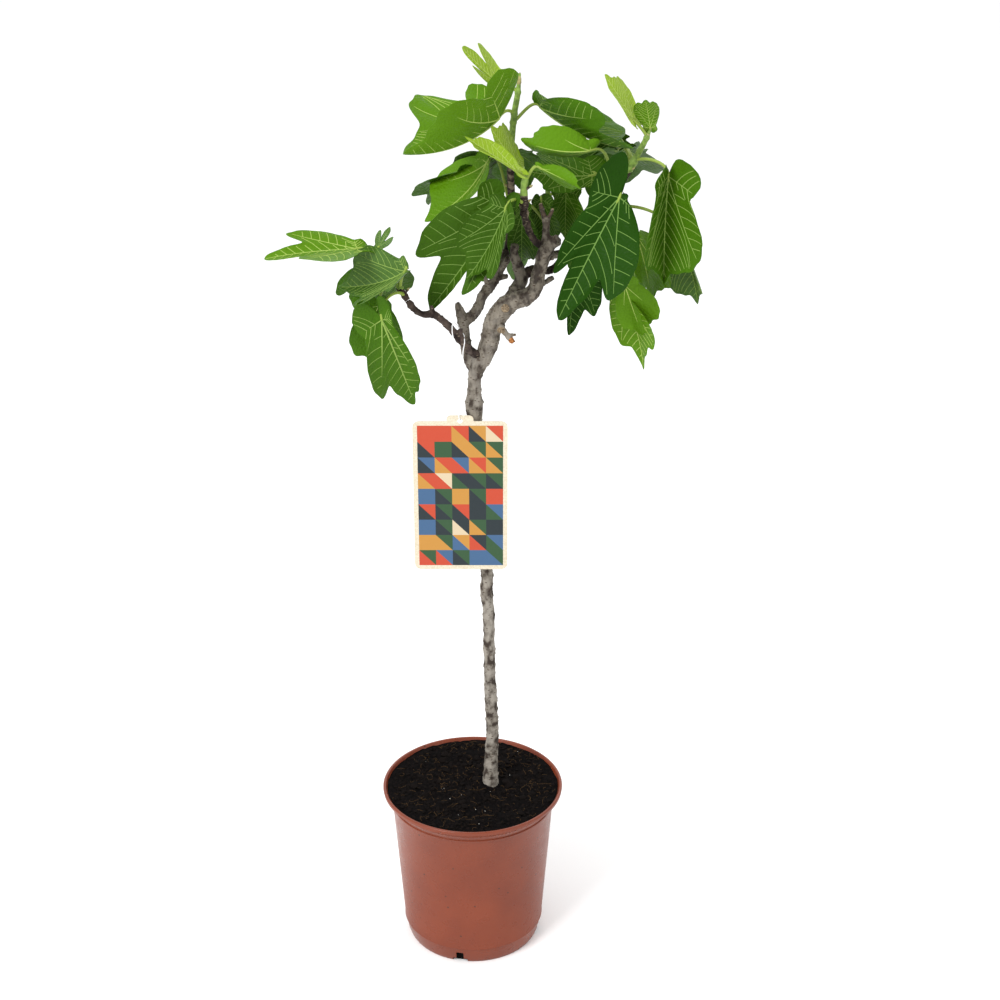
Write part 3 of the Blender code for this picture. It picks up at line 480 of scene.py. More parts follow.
def pot_section():
    """Corners of the pot's wall, from the floor inside over the lip to the underside."""
    lip_low = POT_HEIGHT - LIP_DROP
    lip_middle = POT_RIM_RADIUS - LIP_WIDTH / 2
    ridge_wall = wall_radius(RIDGE_HEIGHT)
    ring_wall = wall_radius(FOOT_RING_HEIGHT)
    inside = [
        (0.0, POT_FLOOR),
        (POT_FOOT_RADIUS - LIP_ROUND, POT_FLOOR),
        (ring_wall - RIDGE_PROUD - POT_WALL, FOOT_RING_HEIGHT),
        (ridge_wall - POT_WALL, RIDGE_HEIGHT),
        (POT_RIM_RADIUS - NECK_INSET, SOIL_EDGE_HEIGHT),
        (POT_RIM_RADIUS - LIP_WIDTH, POT_HEIGHT - LIP_ROUND / 2),
    ]
    lip = []
    for i in range(LIP_STEPS + 1):
        turn = math.pi * i / LIP_STEPS
        out, up = math.cos(turn) * LIP_WIDTH / 2, math.sin(turn) * LIP_ROUND
        lip.append((lip_middle - out, POT_HEIGHT - LIP_ROUND + up))
    outside = [
        (POT_RIM_RADIUS, POT_HEIGHT - LIP_ROUND * 2),
        (POT_RIM_RADIUS - LIP_ROUND * 0.3, lip_low + LIP_ROUND * 0.4),
        (POT_RIM_RADIUS - LIP_ROUND, lip_low),
        (POT_RIM_RADIUS - LIP_DROP, lip_low - EDGE_STEP),
        (ridge_wall + RIDGE_PROUD * 1.3, RIDGE_HEIGHT + EDGE_STEP),
        (ridge_wall + RIDGE_PROUD * 1.1, RIDGE_HEIGHT + LIP_ROUND),
        (ridge_wall + RIDGE_PROUD * 1.8, RIDGE_HEIGHT + LIP_ROUND * 0.6),
        (ridge_wall + RIDGE_PROUD * 1.8, RIDGE_HEIGHT - LIP_ROUND * 0.6),
        (ridge_wall + RIDGE_PROUD * 0.3, RIDGE_HEIGHT - LIP_ROUND * 1.4),
        (ridge_wall, RIDGE_HEIGHT - EDGE_STEP),
        (ring_wall, FOOT_RING_HEIGHT + LIP_ROUND),
        (ring_wall + RIDGE_PROUD * 0.5, FOOT_RING_HEIGHT + LIP_ROUND * 0.3),
        (ring_wall - RIDGE_PROUD, FOOT_RING_HEIGHT - LIP_ROUND * 0.5),
        (POT_FOOT_RADIUS + LIP_ROUND * 3, LIP_ROUND * 6),
        (POT_FOOT_RADIUS + LIP_ROUND * 1.4, LIP_ROUND * 1.6),
        (POT_FOOT_RADIUS + LIP_ROUND * 0.8, LIP_ROUND * 0.4),
        (POT_FOOT_RADIUS, 0.0),
        (0.0, 0.0),
    ]
    return inside + lip + outside


print("The pot's section has", len(pot_section()), "corners")

# %% [markdown]
# The plastic is matte with a soft sheen. It is a little darker and browner in patches, carries
# fine dark specks of soil, and scuffs show as slightly rougher skin. The specks come from the
# distance to scattered points, cut off close to each point.

# %% Terracotta plastic
TERRACOTTA = (0.190, 0.038, 0.014)
TERRACOTTA_WORN = (0.160, 0.032, 0.013)
SPECK = (0.035, 0.016, 0.011)
SPECK_SCALE = 75
SPECK_EDGE = (0.060, 0.080)

terracotta = new_finish("terracotta_plastic", TERRACOTTA, 0.32, 0.32)
clay_tone = graded(
    terracotta, noise_field(terracotta, 22, 4), (0.35, TERRACOTTA_WORN), (0.65, TERRACOTTA)
)
specks = near_spots(terracotta, spot_field(terracotta, SPECK_SCALE), *SPECK_EDGE)
lead(terracotta, mixed(terracotta, specks, clay_tone, SPECK), "Base Color")
vary_gloss(terracotta, noise_field(terracotta, 90, 3), 0.24, 0.36)
emboss(terracotta, noise_field(terracotta, 900, 2), 0.0002, 0.35)
print("The specks are up to", 2 * SPECK_EDGE[0] / SPECK_SCALE, "m wide")

# %% [markdown]
# The section is spun into a closed shell first. Each drainage notch is cut with two rounded
# blocks, a wide low one and a narrow tall one, because a moulded notch has a step in it. A
# Boolean modifier cuts them all at once, which keeps the shell closed.

# %% Turned pot
def drain_block(size, angle):
    """A rounded block across the pot's bottom edge, to cut a notch with."""
    cut = bmesh.new()
    bmesh.ops.create_cube(cut, size=1)
    bmesh.ops.scale(cut, verts=cut.verts, vec=size)
    bmesh.ops.bevel(
        cut, geom=cut.edges, offset=DRAIN_ROUND, segments=3, profile=0.5, affect="EDGES",
        material=-1,
    )
    block = bpy.data.objects.new("notch", mesh_of("notch", cut))
    block.location = (math.cos(angle) * POT_FOOT_RADIUS, math.sin(angle) * POT_FOOT_RADIUS, 0)
    block.rotation_euler.z = angle
    return block


shape = spun_shape(pot_section(), POT_STEPS)
bmesh.ops.recalc_face_normals(shape, faces=shape.faces)
notches = bpy.data.collections.new("notches")
bpy.context.scene.collection.children.link(notches)
for i in range(DRAIN_COUNT):
    for size in (DRAIN_WIDE, DRAIN_TALL):
        notches.objects.link(drain_block(size, DRAIN_TURN + i * math.tau / DRAIN_COUNT))
shape = modified_shape(
    shape, "BOOLEAN", operation="DIFFERENCE", operand_type="COLLECTION", collection=notches
)
for notch in list(notches.objects):
    bpy.data.objects.remove(notch)
bpy.data.collections.remove(notches)
finished_piece("pot_shell", shape, [terracotta], "pot_plastic", "pot")

# %% [markdown]
# ## Soil
#
# Potting soil is almost black, damp and lumpy, with bark fibres and a few white grains. One
# finely ruled disc is pushed up and down by noise to make the crumbs, and its rim is drawn down
# inside the pot so that it closes the view. Loose clods, fibres and grains then lie on it.

# %% Soil surface
SOIL_RADIUS = 0.0905
HEAP_EDGE = 0.1772
HEAP_TOP = 0.1782
SOIL_RINGS = 44
SOIL_SPOKES = 220
WALL_CLEAR = 0.0008
SOIL_LOWEST = 0.0008
SOIL_RINGS_BELOW = (
    (wall_radius(RIDGE_HEIGHT) - POT_WALL - WALL_CLEAR, RIDGE_HEIGHT),
    (wall_radius(FOOT_RING_HEIGHT) - RIDGE_PROUD - POT_WALL - WALL_CLEAR, FOOT_RING_HEIGHT),
    (POT_FOOT_RADIUS - LIP_ROUND - WALL_CLEAR, SOIL_LOWEST),
)
CRUMB_HEIGHT = 0.0046
WAVE_SCALE = 62
FINE_SCALE = 330
LUMP_SCALE = 160
WAVE_SHARE = 0.55
FINE_SHARE = 0.22
LUMP_SHARE = 0.45
FINE_SHIFT = Vector((5, 3, 1))
RIM_CALM = 0.4
SOIL_MOST = POT_HEIGHT + 0.0008


def soil_height(x, y):
    """Height of the crumbly surface: highest round the trunk, lower at the wall."""
    place = Vector((x, y, 0))
    out = min(1.0, place.length / SOIL_RADIUS)
    level = HEAP_TOP + (HEAP_EDGE - HEAP_TOP) * out ** 3
    waves = noise.noise(place * WAVE_SCALE)
    fine = noise.noise(place * FINE_SCALE + FINE_SHIFT)
    lumps = 0.5 - noise.voronoi(place * LUMP_SCALE)[0][0]
    crumbs = WAVE_SHARE * waves + FINE_SHARE * fine + LUMP_SHARE * lumps
    return min(level + CRUMB_HEIGHT * crumbs * (1 - RIM_CALM * out ** 6), SOIL_MOST)


spoke = [(SOIL_RADIUS * i / SOIL_RINGS, 0) for i in range(SOIL_RINGS + 1)]
shape = spun_shape(spoke, SOIL_SPOKES)
for vert in shape.verts:
    vert.co.z = soil_height(vert.co.x, vert.co.y)
for ring_radius, ring_height in SOIL_RINGS_BELOW:
    for item in bmesh.ops.extrude_edge_only(shape, edges=open_edges(shape))["geom"]:
        if isinstance(item, bmesh.types.BMVert):
            item.co.xy *= ring_radius / item.co.xy.length
            item.co.z = ring_height
close_shape(shape)
print("The soil has", len(shape.faces), "faces")

# %% [markdown]
# Damp soil swallows light, and its crumbs show as slightly browner tops. The fibres are dark
# straw and the white grains are a volcanic glass that growers mix in.

# %% Soil finishes
SOIL_TONES = (
    (0.35, (0.0013, 0.0013, 0.0013)),
    (0.60, (0.0046, 0.0033, 0.0033)),
    (0.80, (0.0195, 0.0117, 0.0078)),
)
soil_finish = grained_finish(
    "potting_soil", (0.008, 0.006, 0.006), 0.95, (900, 4, 0.0010, 0.9), 0.05, (420, 5), SOIL_TONES
)
clod_finish = grained_finish(
    "soil_clod", (0.006, 0.0045, 0.004), 0.95, (700, 3, 0.0006, 0.8), 0.05
)
fibre_finish = grained_finish(
    "bark_fibre", (0.085, 0.048, 0.020), 0.8, (1500, 2, 0.0002, 0.6), 0.1
)
grain_finish = grained_finish("white_grain", (0.62, 0.60, 0.55), 0.8, (1500, 2, 0.0003, 0.8))
finished_piece("soil_surface", shape, [soil_finish], "potting_soil", "soil")

# %% [markdown]
# The loose bits make the soil look like soil. A clod is a coarse ball with its corners pushed
# about at random, so hundreds cost little. A fibre is a thin four-sided tube that curls over the
# crumbs. All of them are drawn from one seed, so every run gives the same soil.

# %% Clods, fibres and grains
TRUNK_FOOT = Vector((0.019, 0.005, 0))
TRUNK_CLEAR = 0.013
SPREAD_SHARE = 0.95
CLODS = (900, 0.0006, 0.0028)
BIG_CLODS = (34, 0.0030, 0.0052)
GRAINS = (16, 0.0003, 0.0006)
LUMP_ROUGHNESS = 0.3
LUMP_FLATNESS = 0.7
FIBRES = 280
FIBRE_RADIUS = 0.00014
FIBRE_POINTS = 5
FIBRE_SIDES = 4
FIBRE_CURL = (-0.9, 0.9)
FIBRE_STEP = (0.0006, 0.0030)
FIBRE_LIFT = (0.0002, 0.0014)
FIBRE_REACH = SOIL_RADIUS * 0.97
draw = random.Random(3)


def soil_spot():
    """A place on the soil that keeps clear of the trunk and the wall."""
    while True:
        turn = draw.uniform(0, math.tau)
        out = SOIL_RADIUS * SPREAD_SHARE * math.sqrt(draw.random())
        spot = Vector((out * math.cos(turn), out * math.sin(turn), 0))
        if (spot - TRUNK_FOOT).length > TRUNK_CLEAR:
            spot.z = soil_height(spot.x, spot.y)
            return spot


def add_lumps(shape, count, smallest, largest):
    """Angular lumps: a coarse ball for each, squeezed and turned at random."""
    for _ in range(count):
        spot = soil_spot()
        size = draw.uniform(smallest, largest)
        made = bmesh.ops.create_icosphere(shape, subdivisions=1, radius=size)["verts"]
        for vert in made:
            push = Vector((draw.uniform(-1, 1), draw.uniform(-1, 1), draw.uniform(-1, 1)))
            vert.co += push * size * LUMP_ROUGHNESS
            vert.co.z *= LUMP_FLATNESS
        bmesh.ops.translate(shape, verts=made, vec=spot)


def add_fibre(shape):
    """One curled fibre that follows the crumbs."""
    spot = soil_spot()
    turn = draw.uniform(0, math.tau)
    curl = draw.uniform(*FIBRE_CURL)
    step = draw.uniform(*FIBRE_STEP)
    thread = []
    for _ in range(FIBRE_POINTS):
        height = soil_height(spot.x, spot.y) + draw.uniform(*FIBRE_LIFT)
        thread.append((spot.x, spot.y, height, FIBRE_RADIUS))
        turn += curl
        spot += Vector((math.cos(turn), math.sin(turn), 0)) * step
        if spot.xy.length > FIBRE_REACH:
            spot.xy *= FIBRE_REACH / spot.xy.length
    add_tube(shape, thread, FIBRE_SIDES)


shape = bmesh.new()
add_lumps(shape, *CLODS)
add_lumps(shape, *BIG_CLODS)
finished_piece("soil_clods", shape, [clod_finish], "potting_soil", "soil")
shape = bmesh.new()
add_lumps(shape, *GRAINS)
finished_piece("white_grains", shape, [grain_finish], "potting_soil", "soil")
shape = bmesh.new()
for _ in range(FIBRES):
    add_fibre(shape)
close_tubes(shape)
finished_piece("bark_fibres", shape, [fibre_finish], "potting_soil", "soil")

# %% [markdown]
# ## Wood
#
# The trunk leans a little and swells where an old shoot was cut. Above it the wood forks into
# knobbly limbs with cut stubs, leaf-scar rings and dead twigs. These are the same knots as the
# solids have, so each limb lies exactly where its solid is.

# %% Knots of the limbs
TRUNK = (
    (0.019, 0.005, 0.170, 0.0104), (0.019, 0.005, 0.177, 0.0092), (0.019, 0.006, 0.190, 0.0075),
    (0.020, 0.007, 0.214, 0.0068), (0.021, 0.008, 0.242, 0.0064), (0.019, 0.007, 0.285, 0.0063),
    (0.018, 0.005, 0.337, 0.0060), (0.017, 0.004, 0.384, 0.0060), (0.015, 0.003, 0.409, 0.0066),
    (0.016, 0.002, 0.425, 0.0059), (0.011, 0.000, 0.487, 0.0060), (0.007, -0.001, 0.552, 0.0060),
    (0.005, -0.002, 0.592, 0.0066), (0.004, -0.002, 0.609, 0.0088), (0.004, -0.003, 0.624, 0.0066),
    (0.005, -0.003, 0.640, 0.0064), (0.008, -0.004, 0.652, 0.0080), (0.012, -0.005, 0.662, 0.0090),
)
MAIN_BOUGH = (
    (0.011, -0.005, 0.655, 0.0074), (0.017, -0.005, 0.669, 0.0090), (0.020, -0.006, 0.683, 0.0088),
    (0.024, -0.008, 0.698, 0.0094), (0.033, -0.008, 0.711, 0.0096), (0.043, -0.008, 0.718, 0.0088),
    (0.053, -0.008, 0.721, 0.0082), (0.062, -0.009, 0.730, 0.0072), (0.065, -0.010, 0.744, 0.0066),
    (0.068, -0.012, 0.757, 0.0064), (0.072, -0.015, 0.770, 0.0072), (0.077, -0.015, 0.776, 0.0060),
    (0.083, -0.018, 0.780, 0.0054),
)
MAIN_STUBS = (
    ((0.034, -0.008, 0.710, 0.0050), (0.034, -0.020, 0.714, 0.0046)),
    ((0.028, -0.008, 0.698, 0.0052), (0.030, -0.022, 0.693, 0.0044)),
    ((0.030, -0.018, 0.694, 0.0034), (0.042, -0.023, 0.681, 0.0024)),
    ((0.036, -0.020, 0.688, 0.0018), (0.044, -0.023, 0.689, 0.0014)),
    ((0.071, -0.014, 0.768, 0.0052), (0.072, -0.013, 0.796, 0.0032)),
    ((0.072, -0.013, 0.792, 0.0026), (0.066, -0.008, 0.812, 0.0022)),
    ((0.072, -0.013, 0.793, 0.0024), (0.078, -0.009, 0.807, 0.0018)),
    ((0.070, -0.012, 0.761, 0.0044), (0.091, 0.004, 0.762, 0.0030)),
    ((0.064, -0.009, 0.731, 0.0030), (0.079, 0.001, 0.738, 0.0024)),
)
LEFT_BOUGH = (
    (0.008, -0.008, 0.663, 0.0042), (0.000, -0.014, 0.671, 0.0040),
    (-0.010, -0.018, 0.684, 0.0037), (-0.021, -0.022, 0.699, 0.0034),
    (-0.033, -0.026, 0.710, 0.0036), (-0.043, -0.028, 0.711, 0.0031),
    (-0.051, -0.028, 0.716, 0.0030), (-0.057, -0.027, 0.724, 0.0029),
)
LEFT_STUBS = (
    ((-0.009, -0.018, 0.683, 0.0026), (-0.008, -0.019, 0.694, 0.0020)),
    ((-0.033, -0.026, 0.709, 0.0024), (-0.035, -0.026, 0.719, 0.0014)),
)
REAR_BOUGH = (
    (0.006, 0.000, 0.642, 0.0046), (0.000, 0.003, 0.652, 0.0048), (-0.004, 0.004, 0.670, 0.0052),
    (-0.006, 0.004, 0.690, 0.0052), (-0.009, 0.004, 0.703, 0.0046), (-0.012, 0.003, 0.712, 0.0022),
)
TALL_BOUGH = (
    (-0.007, 0.004, 0.690, 0.0046), (0.003, 0.009, 0.698, 0.0050), (0.009, 0.013, 0.706, 0.0048),
    (0.012, 0.016, 0.714, 0.0046), (0.019, 0.019, 0.723, 0.0048), (0.025, 0.022, 0.731, 0.0044),
    (0.030, 0.032, 0.740, 0.0040), (0.036, 0.042, 0.752, 0.0036),
)
TALL_STUBS = (
    ((0.026, 0.022, 0.732, 0.0038), (0.037, 0.014, 0.753, 0.0026)),
    ((0.026, 0.020, 0.731, 0.0030), (0.036, 0.014, 0.735, 0.0026)),
    ((0.018, 0.018, 0.723, 0.0026), (0.012, 0.014, 0.740, 0.0018)),
)
CENTRE_BOUGH = (
    (0.036, -0.004, 0.713, 0.0070), (0.044, 0.004, 0.724, 0.0066), (0.049, 0.009, 0.734, 0.0064),
    (0.046, 0.010, 0.746, 0.0052), (0.042, 0.008, 0.758, 0.0040), (0.043, 0.006, 0.768, 0.0036),
)
RIGHT_BOUGH = (
    (0.047, 0.009, 0.732, 0.0046), (0.056, 0.015, 0.739, 0.0046), (0.067, 0.021, 0.739, 0.0042),
    (0.078, 0.028, 0.737, 0.0038), (0.090, 0.034, 0.748, 0.0034), (0.105, 0.036, 0.764, 0.0032),
    (0.118, 0.034, 0.780, 0.0031),
)
BACK_BOUGH = (
    (0.067, 0.021, 0.738, 0.0034), (0.071, 0.034, 0.742, 0.0034), (0.074, 0.048, 0.752, 0.0031),
)
LOW_BOUGH = (
    (0.105, 0.036, 0.763, 0.0028), (0.113, 0.048, 0.765, 0.0028), (0.120, 0.056, 0.768, 0.0026),
)
FRONT_TWIG = (
    (0.073, -0.014, 0.772, 0.0040), (0.064, -0.014, 0.775, 0.0036), (0.057, -0.015, 0.785, 0.0032),
    (0.053, -0.017, 0.797, 0.0034), (0.051, -0.018, 0.808, 0.0036),
)

LIMBS = {
    "trunk": (TRUNK, ()),
    "main_bough": (MAIN_BOUGH, MAIN_STUBS),
    "left_bough": (LEFT_BOUGH, LEFT_STUBS),
    "rear_bough": (REAR_BOUGH, ()),
    "tall_bough": (TALL_BOUGH, TALL_STUBS),
    "centre_bough": (CENTRE_BOUGH, ()),
    "right_bough": (RIGHT_BOUGH, ()),
    "back_bough": (BACK_BOUGH, ()),
    "low_bough": (LOW_BOUGH, ()),
    "front_twig": (FRONT_TWIG, ()),
}
GREY_WOOD = ("trunk", "main_bough", "rear_bough", "tall_bough", "centre_bough")
BROWN_WOOD = ("left_bough", "right_bough", "back_bough", "low_bough", "front_twig")
print("Limbs:", list(LIMBS))

# %% [markdown]
# Old fig bark is smooth and grey, ringed by the scars of fallen leaves and dotted with small
# corky pores. Each limb is a tube whose radius swells at the rings. The tubes of one kind of
# wood are then melted together into one fine skin, so that forks and stubs flow into each other,
# and the pores and pits are pushed into that skin by noise.

# %% Bark relief
RING_SPACING = (0.010, 0.024)
RING_HEIGHT = (0.0004, 0.0012)
RING_WIDTH = 0.0011
PATH_SPACING = 0.0016
LIMB_SIDES = 28
STUB_STEPS = 6
SKIN_GRAIN = 0.0008
SKIN_SMOOTHINGS = 4
PORE_HEIGHT = 0.0007
PORE_SCALE = 150
PORE_FLATNESS = 2.2
PORE_REACH = 0.30
PORE_EDGE = 0.7
BARK_ROUGH = 0.00055
PIT_SCALE = 520
PIT_SCALE_UP = 190
SWELL_SCALE = 95
SWELL_SHARE = 1.3


def ringed_path(knots, seed):
    """A fine path whose radius swells at rings set at random distances."""
    ring_draw = random.Random(seed)
    path = smooth_path(knots, spacing=PATH_SPACING)
    travelled = 0.0
    ring_at = ring_draw.uniform(*RING_SPACING)
    rings = []
    for before, point in zip(path, path[1:]):
        travelled += (point.to_3d() - before.to_3d()).length
        if travelled > ring_at:
            rings.append((point.to_3d(), ring_draw.uniform(*RING_HEIGHT)))
            ring_at += ring_draw.uniform(*RING_SPACING)
    for place, height in rings:
        swell(path, place, height, RING_WIDTH)
    return path


def swell(path, place, height, width):
    """Thickens a path near a place."""
    for point in path:
        away = (point.to_3d() - place).length
        point.w += height * math.exp(-(away / width) ** 2)


def bark_height(place):
    """Relief of the bark at a place: corky pores wider than tall, pits and long swells."""
    flat = Vector((place.x, place.y, place.z * PORE_FLATNESS))
    nearest = noise.voronoi(flat * PORE_SCALE)[0][0]
    pore = max(0.0, PORE_REACH - nearest) / PORE_REACH
    pits = noise.noise(Vector((place.x * PIT_SCALE, place.y * PIT_SCALE, place.z * PIT_SCALE_UP)))
    swells = noise.noise(place * SWELL_SCALE)
    return PORE_HEIGHT * pore ** PORE_EDGE + BARK_ROUGH * (pits + SWELL_SHARE * swells)


def melted_limbs(names, seed):
    """The limbs of one kind of wood as one skin with bark relief."""
    shape = bmesh.new()
    for i, name in enumerate(names):
        knots, stubs = LIMBS[name]
        add_tube(shape, ringed_path(knots, seed + i), LIMB_SIDES)
        for stub in stubs:
            add_tube(shape, smooth_path(stub, steps=STUB_STEPS), LIMB_SIDES // 2)
    close_tubes(shape)
    shape = modified_shape(shape, "REMESH", mode="VOXEL", voxel_size=SKIN_GRAIN)
    for _ in range(SKIN_SMOOTHINGS):
        bmesh.ops.smooth_vert(
            shape, verts=shape.verts, factor=0.5, use_axis_x=True, use_axis_y=True, use_axis_z=True
        )
    shape.normal_update()
    moves = [vert.normal * bark_height(vert.co) for vert in shape.verts]
    for vert, move in zip(shape.verts, moves):
        vert.co += move
    return shape


print("The melted skin has faces", SKIN_GRAIN, "m wide")

# %% [markdown]
# The grey bark is warm beige in the light parts, with brown pores and darker stains. It turns
# browner up in the crown, and the highest stubs are dark. A stub that was cut shows pale wood,
# and a broken dead twig shows orange inside. The young wood is dark, almost purple brown, with
# cream scars.

# %% Bark finishes
PATCH_STRETCH = (1, 1, 0.7)
BROWNER_FROM = (0.60, 0.76)
DARK_FROM = (0.776, 0.798)


def bark_finish(name, light, middle, dark, pore, top):
    """Bark: crisp patches of three tones, wide dark pores and a change of tone with height."""
    made = new_finish(name, middle, 0.85, 0.15)
    low_tones = graded(
        made, noise_field(made, 130, 9, PATCH_STRETCH), (0.38, dark), (0.47, middle), (0.60, light)
    )
    top_tones = graded(made, noise_field(made, 150, 9, PATCH_STRETCH), (0.41, dark), (0.56, top))
    stub_tones = graded(
        made, noise_field(made, 120, 6, (1, 1, 1.6)), (0.40, pore), (0.52, dark), (0.64, top)
    )
    tones = mixed(made, height_field(made, *BROWNER_FROM), low_tones, top_tones)
    tones = mixed(made, height_field(made, *DARK_FROM), tones, stub_tones)
    pores = near_spots(made, spot_field(made, 170, (1, 1, 2.6)), 0.15, 0.26)
    pore_tone = graded(made, noise_field(made, 200, 2), (0.3, pore), (0.8, dark))
    lead(made, mixed(made, pores, tones, pore_tone), "Base Color")
    emboss(made, noise_field(made, 1100, 6, (1, 1, 0.6)), 0.0007)
    return made


grey_bark = bark_finish(
    "grey_bark", (0.270, 0.245, 0.210), (0.170, 0.150, 0.125), (0.040, 0.030, 0.024),
    (0.080, 0.055, 0.038), (0.190, 0.165, 0.130),
)
brown_bark = bark_finish(
    "brown_bark", (0.11, 0.085, 0.072), (0.050, 0.035, 0.030), (0.014, 0.009, 0.008),
    (0.20, 0.16, 0.11), (0.070, 0.050, 0.040),
)
cut_wood = grained_finish(
    "cut_wood", (0.33, 0.22, 0.12), 0.8, (1200, 3, 0.0003, 0.8), grain=(700, 3),
    tones=((0.35, (0.055, 0.036, 0.022)), (0.60, (0.24, 0.18, 0.11))),
)
broken_wood = grained_finish(
    "broken_wood", (0.42, 0.15, 0.035), 0.8, (1100, 3, 0.0005, 0.9), grain=(600, 4),
    tones=((0.35, (0.07, 0.03, 0.012)), (0.62, (0.40, 0.15, 0.035))),
)
print("Bark turns browner between heights", BROWNER_FROM)

# %% [markdown]
# The grey wood is the trunk with the old boughs, and the brown wood is the young growth. The
# ends of the cut stubs are picked out by place and get the finish of bare wood. What would stand
# deep in the soil is cut away, and the hole is filled.

# %% Wood pieces
GREY_SEED = 40
BROWN_SEED = 60
WOOD_IN_SOIL = 0.003
CUT, BROKEN = 1, 2
CUT_FACES = (
    (Vector((0.034, -0.0205, 0.7142)), 0.0040, CUT),
    (Vector((0.030, -0.0225, 0.6928)), 0.0040, CUT),
    (Vector((0.041, -0.0225, 0.6822)), 0.0045, BROKEN),
    (Vector((0.044, -0.0230, 0.6890)), 0.0020, CUT),
    (Vector((0.066, -0.0080, 0.8120)), 0.0024, CUT),
    (Vector((0.078, -0.0090, 0.8070)), 0.0020, CUT),
)


def mark_cuts(shape):
    """Gives the faces at the end of each cut stub the colour of bare wood."""
    for face in shape.faces:
        middle = face.calc_center_median()
        for place, radius, finish_index in CUT_FACES:
            if (middle - place).length < radius:
                face.material_index = finish_index


shape = melted_limbs(GREY_WOOD, GREY_SEED)
mark_cuts(shape)
below = [vert for vert in shape.verts if vert.co.z < SOIL_TOP_HEIGHT - WOOD_IN_SOIL]
bmesh.ops.delete(shape, geom=below, context="VERTS")
bmesh.ops.holes_fill(shape, edges=open_edges(shape))
finished_piece("grey_wood", shape, [grey_bark, cut_wood, broken_wood], "grey_bark", *GREY_WOOD)
shape = melted_limbs(BROWN_WOOD, BROWN_SEED)
finished_piece("brown_wood", shape, [brown_bark], "brown_bark", *BROWN_WOOD)

# %% [markdown]
# ## Leaves
#
# A fig leaf is a broad heart with a deep sinus on each side of the tip lobe and a heel lobe
# beside the stalk. Its outline is one formula: the distance from the stalk to the margin at each
# angle from the midrib. Each half of a leaf has its own width, sinus and heel, because real
# leaves are lopsided. A blade may fold along its midrib and bend along its length.

# %% Leaf sizes
Leaf = namedtuple("Leaf", "at base tip face left right fold bend arch")

BLADE_OPENING = math.radians(166)
COLUMN_EVEN = 0.42
PETIOLE_RADIUS = 0.0013
PETIOLE_END = 0.06
PETIOLE_EASE = 0.35
PETIOLE_DROOP = 0.3
PETIOLE_FOOT = 1.25
HEART_POWER = 1.2
SINUS_ANGLE = math.radians(24)
SINUS_SPREAD = math.radians(8)
TIP_ANGLE = math.radians(12)
TIP_TAPER = 0.12
SIDE_LOBE_END = math.radians(50)
HEEL_EASE = math.radians(60)
HEEL_DROP = 0.75
HEEL_ANGLE = math.radians(105)
HEEL_SPREAD = math.radians(62)
HEEL_FALL = 1.4
HEEL_ROUND = 0.75
STALK_NOTCH = 0.06
MARGIN_SHARPNESS = 8
GOLDEN_ANGLE = math.radians(137.5)
SOFT_FOLD = 0.003


def petal(turn, spread, reach):
    """Reach of a heel lobe at an angle from its own vein."""
    return reach * max(0.0, 1 - abs(turn / spread) ** HEEL_FALL) ** HEEL_ROUND


def blade_reach(angle, leaf):
    """Distance from the blade's base to its margin at an angle from the midrib, midrib = 1."""
    _, sinus, heel = leaf.left if angle > 0 else leaf.right
    turn = abs(angle)
    ease = min(1.0, max(0.0, (turn - SIDE_LOBE_END) / HEEL_EASE))
    ease *= ease * (3 - 2 * ease)
    heart = ((1 + math.cos(turn)) / 2) ** HEART_POWER * (1 - HEEL_DROP * ease)
    heart *= 1 - sinus * math.exp(-((turn - SINUS_ANGLE) / SINUS_SPREAD) ** 2)
    heart *= 1 - TIP_TAPER * math.exp(-((turn - TIP_ANGLE) / SINUS_SPREAD) ** 2)
    lobe = petal(turn - HEEL_ANGLE, HEEL_SPREAD, heel)
    mixed_reach = sum(reach ** MARGIN_SHARPNESS for reach in (heart, lobe, STALK_NOTCH))
    return mixed_reach ** (1 / MARGIN_SHARPNESS)


def blade_frame(leaf):
    """Axis from base to tip, sideways and facing directions, and the length along the midrib."""
    chord = Vector(leaf.tip) - Vector(leaf.base)
    axis = chord.normalized()
    facing = Vector(leaf.face)
    facing = (facing - facing.dot(axis) * axis).normalized()
    half = leaf.bend / 2
    length = chord.length * half / math.sin(half)
    return axis, facing.cross(axis), facing, length


def blade_point(leaf, along, across, lift=0.0):
    """Place on the blade: `along` in midrib lengths, `across` and `lift` off it in metres."""
    axis, sideways, facing, length = blade_frame(leaf)
    half = leaf.bend / 2
    turn = leaf.bend * max(along, 0.0)
    run = math.sin(turn) / leaf.bend * length + min(along, 0.0) * length
    drop = (math.cos(turn) - 1) / leaf.bend * length
    fold = math.radians(leaf.fold)
    rounded = math.sqrt(across ** 2 + SOFT_FOLD ** 2) - SOFT_FOLD
    slope = math.sin(fold) * across / math.sqrt(across ** 2 + SOFT_FOLD ** 2)
    rise = rounded * math.sin(fold) + lift * math.sqrt(1 - slope ** 2)
    spread = across * math.cos(fold) - lift * slope
    run, drop = run + rise * math.sin(turn), drop + rise * math.cos(turn)
    forward = run * math.cos(half) - drop * math.sin(half)
    upward = run * math.sin(half) + drop * math.cos(half)
    return Vector(leaf.base) + axis * forward + facing * upward + sideways * spread


def half_width(leaf, across):
    """Metres across for one unit of the outline, on the side that a place lies on."""
    half = leaf.left if across > 0 else leaf.right
    return half[0] * (Vector(leaf.tip) - Vector(leaf.base)).length


def blade_margin(leaf, angle, share=1.0):
    """Place of the point that lies a share of the way from the base out to the margin."""
    reach = blade_reach(angle, leaf) * share
    across = reach * math.sin(angle)
    return blade_point(leaf, reach * math.cos(angle), across * half_width(leaf, across))


